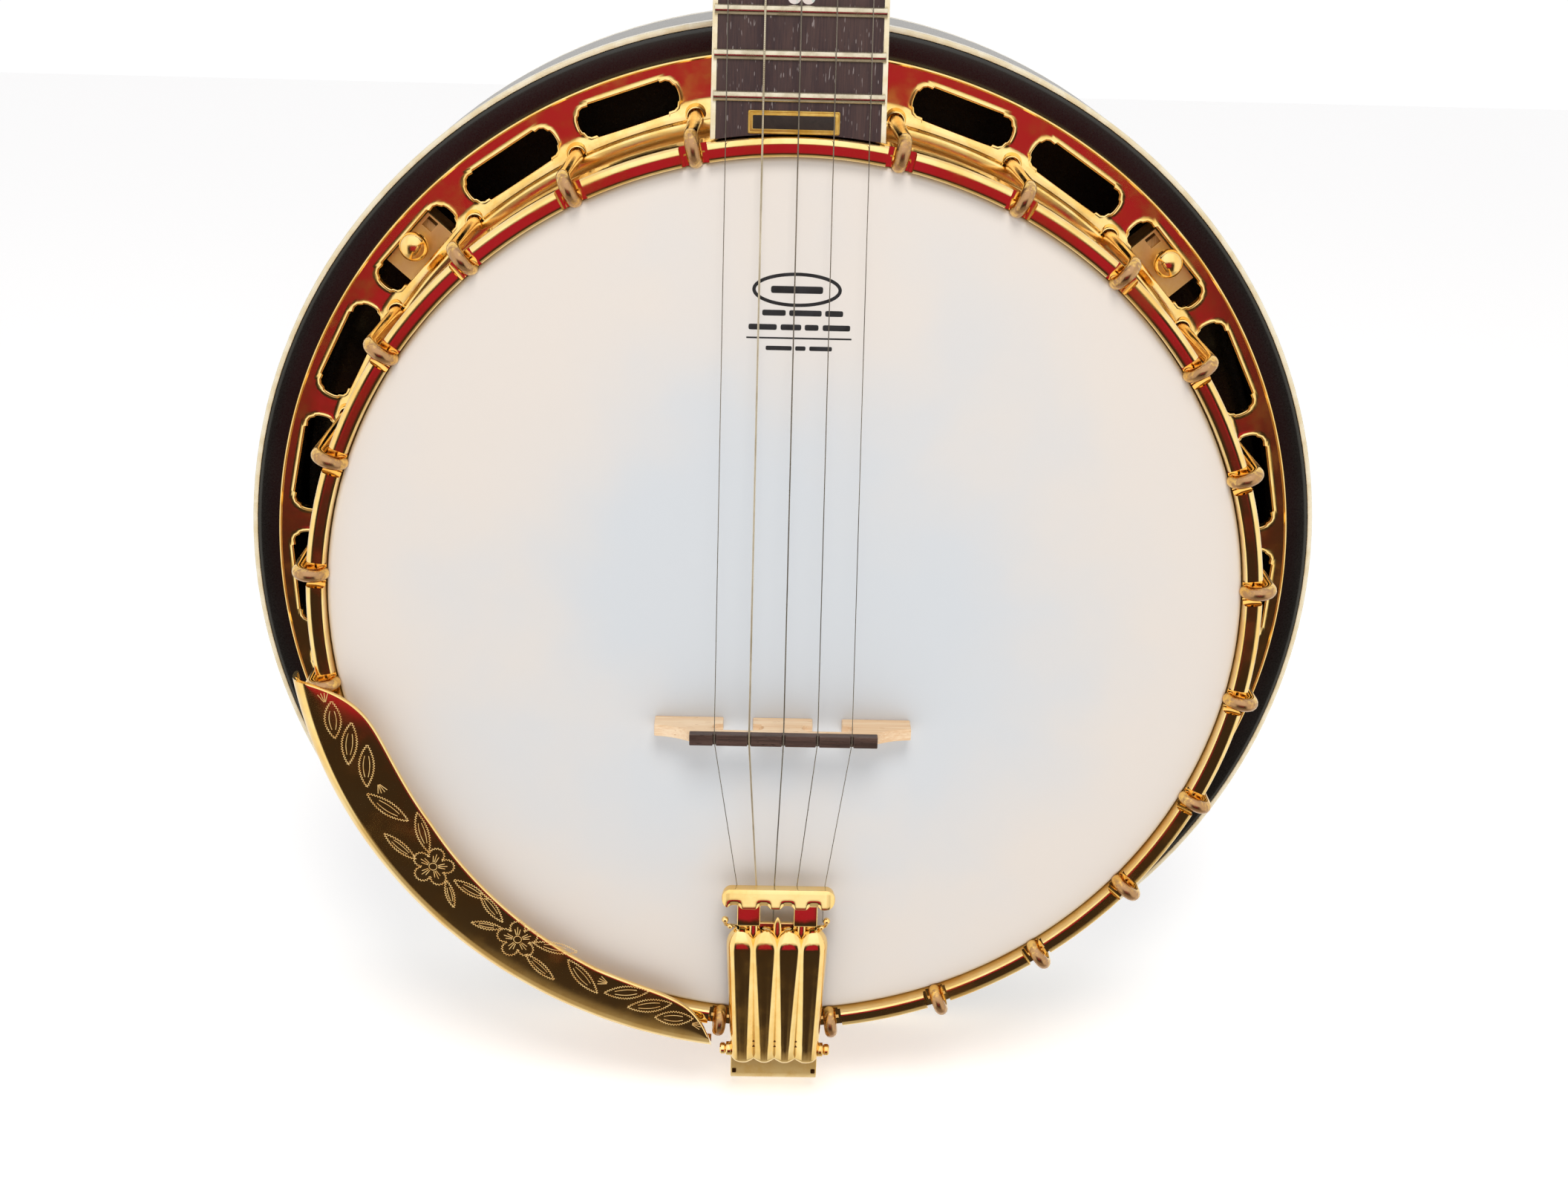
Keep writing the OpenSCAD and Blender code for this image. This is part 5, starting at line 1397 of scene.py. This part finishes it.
@dataclass(frozen=True)
class Tailpiece:
    """Hinged tailpiece: bracket, flat plate with two arms, the bar that presses the strings, and a fluted
    lid."""

    bar_l: float = 36.4
    bar_r: float = 3.4
    bar_h: float = 110.9
    plate_h: float = 106.6
    plate_t: float = 1.3
    front: float = -103.5
    flute_r: float = 4.9
    flute_pitch: float = 7.8
    flute_h: float = 107.8
    lid_cut: float = 108.12
    lid_front: float = -104.7
    lid_tail: float = -155.7
    wall: float = 1.2
    scoops: tuple[float, ...] = (-14.1, -4.7, 3.0, 11.4)

    def build(self) -> None:
        """Builds the base, the lid with its fittings, and dresses the bracket, pin and screw."""
        self._base()
        self._lid()
        self._hooks()
        self._bracket()
        draft = Draft()
        shank = np.array([[1.27, 0.0], [1.3, 0.2], [1.3, 16.2], [1.6, 16.35], [1.9, 16.7], [1.9, 17.7],
                          [1.5, 18.15], [0.0, 18.2]])
        for side in (-1, 1):
            draft.turned(shank * [1, side], (0.0, PIN_Y, PIN_Z), axis=0, steps=24)
        draft.piece("tailpiece_hinge_rod", GOLD, ("tailpiece_hinge_pin",))
        eased_copy("tailpiece_tension_screw", "tailpiece_slotted_screw", NICKEL, 0.2)

    def _base(self) -> None:
        """Bar with a flat face that leans back and scoops in its lower edge, plate, and two arms up to the
        bar."""
        draft = Draft()
        tip = self.bar_l / 2 - self.bar_r
        crowd = self.bar_r * np.sin(np.linspace(0, math.pi / 2, 12)[1:])
        x = np.concatenate([-tip - crowd[::-1], np.linspace(-tip, tip, 97), tip + crowd])
        end = np.clip((self.bar_l / 2 - np.abs(x)) / self.bar_r, 0, 1)
        size = np.maximum(np.sqrt(1 - (1 - end) ** 2.4), 0.02)[:, None]
        low, high, back, under = BAR_Y - 2.9, 113.5, 111.3, 107.7
        face = np.linspace(0, 1, 9)[:, None]
        corners = np.array([[low, under], [low, high], [BAR_Y + 3.2, back], [BAR_Y + 3.2, under]])
        eased = rounded(corners, np.array([1.0, 0.6, 0.7, 1.0]), 4)
        section = np.concatenate([eased[:5], eased[4] + face[1:-1] * (eased[5] - eased[4]), eased[5:10],
                                  eased[9] + face[1:-1] * (eased[10] - eased[9]), eased[10:]])
        dip = np.exp(-((x[:, None] - np.array(self.scoops)) / 1.9) ** 4).sum(axis=1)[:, None]
        near = np.clip((BAR_Y - 0.4 - section[:, 0]) / 2.2, 0, 1) * np.clip((section[:, 1] - 109.5) / 2, 0, 1)
        bar = np.zeros((len(x), len(section), 3))
        bar[..., 0] = x[:, None]
        bar[..., 1] = BAR_Y + size * (section[:, 0] - BAR_Y) + 0.7 * dip * near
        bar[..., 2] = self.bar_h + size * (section[:, 1] - self.bar_h) - 1.3 * dip * near
        draft.loft(bar)
        half = 12.0
        slab = np.array([[-half, PIN_Y + 2.6], [half, PIN_Y + 2.6], [half, self.front], [-half, self.front]])
        draft.prism(rounded(slab, 1.2), self.plate_h, self.plate_h + self.plate_t, 0.3)
        knuckle = np.array([[2.1, 0.0], [2.4, 0.3], [2.4, 23.7], [2.1, 24.0], [1.36, 24.0], [1.36, 0.0]])
        draft.turned(knuckle, (-half, PIN_Y, PIN_Z), axis=0, steps=32, ring=True)
        draft.prism(rounded(np.array([[PIN_Y + 1.6, 106.7], [PIN_Y + 3.5, 106.7], [PIN_Y + 3.5, 107.8],
                                      [PIN_Y + 1.6, 107.8]]), 0.1), -half, half, 0.2, axes=(1, 2, 0))
        for low, high in ((-13.1, -5.7), (5.1, 12.7)):
            side = np.array([[-111.0, 106.9], [-103.2, 106.9], [-101.4, 109.6], [BAR_Y - 3.0, 108.7],
                             [BAR_Y - 3.0, 110.3], [-102.6, 111.4], [-104.4, 108.05], [-111.0, 107.95]])
            draft.prism(rounded(side, 0.35, 3), low, high, 0.3, axes=(1, 2, 0))
        draft.piece("tailpiece_pressure_bar", GOLD, ("tailpiece_base",))

    def _bracket(self) -> None:
        """A strap that stands out below the lid and turns down to a shelf and a tab on the rim, with two
        ears."""
        thick = 1.6
        over = np.array([[-147.4, 102.2], [-156.0, 102.15], [-162.0, 101.9], [-165.5, 101.4], [-167.6, 100.6],
                         [-168.7, 99.4], [-169.0, 97.8], [-169.0, 85.6]])
        ahead = unit(np.gradient(over, axis=0))
        within = over + thick * np.stack([-ahead[:, 1], ahead[:, 0]], axis=-1)
        draft = Draft()
        draft.prism(np.concatenate([over, within[::-1]]), -14.5, 14.5, 0.3, axes=(1, 2, 0))
        rim_y, half = -140.2, 10.0
        for low, high in (((-168.6, 85.6), (rim_y, 87.2)), ((rim_y - thick, 64.0), (rim_y, 86.8))):
            corners = np.array([low, (high[0], low[1]), high, (low[0], high[1])])
            draft.prism(rounded(corners, 0.3, 2), -half, half, 0.3, axes=(1, 2, 0))
        ear_r = 2.4
        bend = np.radians(np.linspace(0, 180, 13))
        ear = np.concatenate([[[PIN_Y - ear_r, 101.2], [PIN_Y + ear_r, 101.2]],
                              np.stack([PIN_Y + ear_r * np.cos(bend), PIN_Z + ear_r * np.sin(bend)],
                                       axis=-1)])
        for side in (-1, 1):
            draft.prism(ear, side * 13.3 - 0.6, side * 13.3 + 0.6, 0.15, axes=(1, 2, 0))
        draft.piece("tailpiece_bowed_strap", SATIN_GOLD, ("tailpiece_bracket",))
        # dark marks at the strap's lower corners: painted shade of its notches
        strap_notch_shade = Draft()
        for side in (-1, 1):
            corner = np.array([[-0.7, -0.9], [0.7, -0.9], [0.7, 0.9], [-0.7, 0.9]]) + [side * 13.3, -164.6]
            strap_notch_shade.prism(rounded(corner, 0.3, 2), 101.2, 101.75, 0.1)
        strap_notch_shade.piece("tailpiece_strap_notch_shade", DIMPLE_SHADE, body="root")

    def _height(self, x: Array, y: Array) -> Array:
        """Height of the lid over its springing line: four crests with flat tops, straight-sided valleys
        between them that widen towards the tail, and a full curve down each outer side."""
        middles = (np.arange(4) - 1.5) * self.flute_pitch
        off = np.abs(x[..., None] - middles).min(axis=-1)
        along = np.clip((y - self.lid_tail) / (self.lid_front - self.lid_tail), 0, 1)
        past = off - (1.0 + 2.5 * along)
        crest = 4.75 - 0.025 * off**2
        valley = crest - 0.225 * (past + np.sqrt(past**2 + 0.06))
        side = np.clip((off - 1.5) / (self.flute_r - 1.51), 0, 1)
        outer = crest * (1 - side**2.4) ** (1 / 2.4)
        return np.where(np.abs(x) > middles[3], outer, valley)

    def _lid(self) -> None:
        """A skin over the flutes, closed in front and at the tail by quarter turns that are longest over each
        flute's middle, so that both ends are scalloped, and an underside one wall thickness below it."""
        cell = np.linspace(-1, 1, 17)[:-1]
        middles = (np.arange(4) - 1.5) * self.flute_pitch
        inner = (middles[:, None] + cell * self.flute_pitch / 2).ravel()
        share = np.array([0.25, 0.5, 0.7, 0.84, 0.94, 1.0])
        reach = self.flute_pitch / 2 + (self.flute_r - 0.01 - self.flute_pitch / 2) * share
        x = np.concatenate([middles[0] - reach[::-1], inner, [middles[3] + self.flute_pitch / 2],
                            middles[3] + reach])
        off = np.abs(x[:, None] - middles).min(axis=-1)
        depth = np.sqrt(np.maximum(self.flute_r**2 - off**2, 0.1))
        bend = np.linspace(0, math.pi / 2, 13)[:, None]
        ahead = self.lid_front - 1.45 * (self.flute_r - depth * np.sin(bend))
        behind = self.lid_tail + 0.6 * (self.flute_r - depth * np.sin(bend[::-1]))
        middle = np.concatenate([[-149.0, -147.6, -146.8], np.linspace(-142, self.lid_front - 11.5, 9)])[:,
                                                                                                         None]
        y = np.concatenate([behind, middle + 0 * x, ahead])
        fall = np.concatenate([np.cos(bend[::-1]), np.ones_like(middle), np.cos(bend)])
        top = np.maximum(self.flute_h + self._height(np.broadcast_to(x, y.shape), y) * fall, self.lid_cut)
        wall = np.where(y < -147.2, 0.34, self.wall)
        under = np.maximum(top - wall, self.lid_cut)
        taper = 0.87 + 0.13 * np.clip((y - self.lid_tail) / 47.0, 0, 1)
        skin = np.stack([x * taper, y, top], axis=-1)
        draft = Draft().grid(skin).grid(np.stack([x * taper, y, under], axis=-1))
        for side in (-1, 1):
            ear = np.array([[2.0, 0.0], [2.3, 0.2], [2.3, 1.8], [2.0, 2.0], [1.36, 2.0], [1.36, 0.0]])
            draft.turned(ear * [1, side], (side * 14.15, PIN_Y, PIN_Z), axis=0, steps=28, ring=True)
        draft.piece("tailpiece_fluted_lid", GOLD, ("tailpiece_lid",), sharp_deg=60)
        # dark dishes in the lid's tail end: painted shade in its dimples
        lid_dimple_shade = Draft()
        dimple = np.array([[0.0, 0.2], [0.5, 0.3], [0.9, 0.55], [1.15, 0.6], [1.25, 0.4], [0.0, -0.2]])
        for x0 in (-7.0, 0.0, 7.0):
            lid_dimple_shade.turned(dimple, (x0, -147.4, 110.75), steps=24)
        lid_dimple_shade.piece("tailpiece_lid_dimple_shade", DIMPLE_SHADE, body="lid")

    def _hooks(self) -> None:
        """A curled hook with a bead at each front corner of the plate, and a leaf in front of each valley."""
        draft = Draft()
        for side, x0 in ((-1, -17.0), (1, 15.8)):
            path = np.array([[side * 11.0, -105.4, 107.3], [x0 - side * 3.0, -105.0, 107.4],
                             [x0 - side * 1.2, -104.6, 107.9], [x0 - side * 0.2, -103.8, 108.5],
                             [x0, -102.8, 108.9], [x0 - side * 0.2, -101.9, 109.1]])
            draft.tube(path, 0.6, (0.0, 0.3, 1.0), sides=10)
            bead = np.radians(np.linspace(-90, 90, 11))
            profile = np.stack([1.15 * np.cos(bead), 1.15 * np.sin(bead)], axis=-1)
            draft.turned(profile, (x0, -101.6, 109.3), steps=20)
            draft.turned(profile * 0.8, (x0 - side * 1.6, -104.4, 108.6), steps=20)
        for x0 in (-7.8, 0.0, 7.8):
            width = np.array([0.25, 1.0, 1.35, 1.2, 0.7, 0.2])
            y = np.array([-110.4, -108.0, -105.6, -103.4, -101.9, -101.2])
            lift = np.array([109.6, 109.4, 108.9, 108.5, 108.3, 108.2])
            draft.tube(np.stack([np.full(6, x0), y, lift], axis=-1), width, (0.0, 0.0, 1.0), sides=16,
                       flat=0.4)
        draft.piece("tailpiece_string_hooks", GOLD, body="root")


@dataclass(frozen=True)
class Bridge:
    """Three-footed maple bridge with an ebony cap."""

    def build(self) -> None:
        """Eases both parts; the openings' edges are sanded a little rounder than the cap's."""
        eased_copy("bridge", "bridge_maple_body", BRIDGE_MAPLE, 0.35, 3)
        eased_copy("bridge_cap", "bridge_ebony_strip", EBONY, 0.25, 2)


@dataclass(frozen=True)
class Strings:
    """Four long strings and the short fifth, each from the tailpiece's bar over the bridge to its post."""

    wound_r: float = 4.2
    bridge_y: float = -35.4
    bridge_top: float = 115.2
    start_y: float = -103.45
    hook_h: float = 107.0

    def ends(self, i: int) -> tuple[Array, Array]:
        """Where a string leaves the neck: its nut slot and where it meets its post.

        Args:
            i: Number of the string, from 0 for the treble one.

        Returns:
            Both points in the drawing frame.
        """
        r = STRING_R[i]
        if i < 4:
            u, t = POSTS[i]
            tangent = u - math.copysign(self.wound_r + r + 0.2, u)
            return (NECK.out(np.array([NUT_X[i], NUT_V + 0.3, 1.2])),
                    HEADSTOCK.out(np.array([tangent, t, 7.0])))
        step = NUT_V - SCALE_LENGTH * (1 - 2 ** (-5 / 12)) + 3.5
        return (NECK.out(np.array([NUT_X[i], step - 3.5, 1.45])),
                NECK.out(np.array([NUT_X[i] - 2, step + 27, -11 + self.wound_r + r + 0.2])))

    def build(self) -> None:
        """Draws each string straight between its resting points; the fourth is wound."""
        for i, radius in enumerate(STRING_R):
            nut, post = self.ends(i)
            rests = np.array([[TAIL_X[i], self.start_y, self.hook_h], [TAIL_X[i], BAR_Y, self.hook_h],
                              [BRIDGE_X[i], self.bridge_y, self.bridge_top], nut, post])
            finish = WOUND_METAL if i == 3 else STRING_METAL
            Draft().tube(rests, radius, (0.0, 0.0, 1.0), sides=12).piece(
                f"steel_string_{i + 1}", finish, (f"string_{i + 1}",))


# ---------- neck and tuners ----------


@dataclass(frozen=True)
class Neck:
    """Neck with its bound fingerboard, frets, inlays, name plate left blank, nuts and headstock."""


    def build(self) -> None:
        """Dresses the wooden parts, the frets and the other fittings, then makes a framed plate."""
        eased_copy("neck", "mahogany_neck_shaft", MAHOGANY, 0.5)
        eased_copy("heel_cap", "heel_cap_plate", CREAM_BINDING, 0.3)
        eased_copy("fingerboard", "rosewood_board", ROSEWOOD, 0.12)
        eased_copy("fingerboard_binding", "board_binding_strip", CREAM_BINDING, 0.2)
        eased_copy("frets", "rolled_fret_wires", FRET_METAL, 0.12)
        eased_copy("fret_inlays", "shell_flower_inlays", INLAY_PEARL, 0.05)
        eased_copy("nut", "bone_nut", BONE, 0.2)
        eased_copy("fifth_string_nut", "bone_fifth_nut", BONE, 0.12)
        eased_copy("truss_rod", "truss_rod_bar", STEEL, 0.3)
        eased_copy("peghead_overlay", "black_peghead_face", OVERLAY, 0.2)
        eased_copy("truss_rod_cover", "cream_rod_cover", COVER_PLASTIC, 0.3)
        eased_copy("truss_cover_screws", "rod_cover_screws", GOLD, 0.12)
        self._plate()

    def _plate(self) -> None:
        """A stamped frame round a plain dark field."""
        middle, half = (-1.25, 149.75), (12.75, 3.15)
        box = np.array([[-1, -1], [1, -1], [1, 1], [-1, 1]])
        frame = Draft(NECK)
        frame.prism(rounded(box * half + middle, 0.5, 3), 0.03, 0.3, 0.06)
        for edge in (0.0, 1.0):
            reach = np.array(half) - 0.28 - edge * 0.9
            ring = rounded(box * reach + middle, 0.4, 3)
            path = np.concatenate([ring, np.full((len(ring), 1), 0.3)], axis=1)
            frame.tube(path, 0.22 - 0.08 * edge, (0.0, 0.0, 1.0), sides=8, flat=0.5, loop=True)
        frame.piece("plate_stamped_frame", FRAME_BRASS, ("label_plate",))
        field = Draft(NECK)
        field.prism(rounded(box * (np.array(half) - 1.3) + middle, 0.3, 3), 0.26, 0.34, 0.02)
        field.piece("plate_dark_field", PLATE_ENAMEL, body="root")


@dataclass(frozen=True)
class Tuners:
    """Geared tuners: housings with hexagon nuts, posts with their windings, and pearloid buttons."""

    def build(self) -> None:
        """Dresses the fixed housings and each post and button on its own body."""
        eased_copy("tuner_housings", "tuner_gear_housings", NICKEL, 0.5, 3)
        for i in range(1, 5):
            eased_copy(f"tuner_post_{i}", f"slotted_post_{i}", NICKEL, 0.3, 2)
            eased_copy(f"tuner_knob_{i}", f"pearloid_button_{i}", KNOB_PEARL, 1.4, 4)
        eased_copy("fifth_peg_housing", "fifth_peg_case", NICKEL, 0.4)
        eased_copy("fifth_peg_post", "fifth_peg_spindle", NICKEL, 0.25)
        eased_copy("fifth_peg_knob", "fifth_peg_button", KNOB_PEARL, 1.2, 4)


def main() -> None:
    """Loads the frame, sets the studio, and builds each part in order."""
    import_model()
    Studio().build()
    for part in (Flange(), TensionHoop(), Hooks(), Head(), Rim(), Resonator(), Armrest(), Tailpiece(),
                 Bridge(),
                 Strings(), Neck(), Tuners()):
        LOG.info("building %s", type(part).__name__)
        part.build()


if __name__ == "__main__":
    logging.basicConfig(level=logging.INFO)
    main()
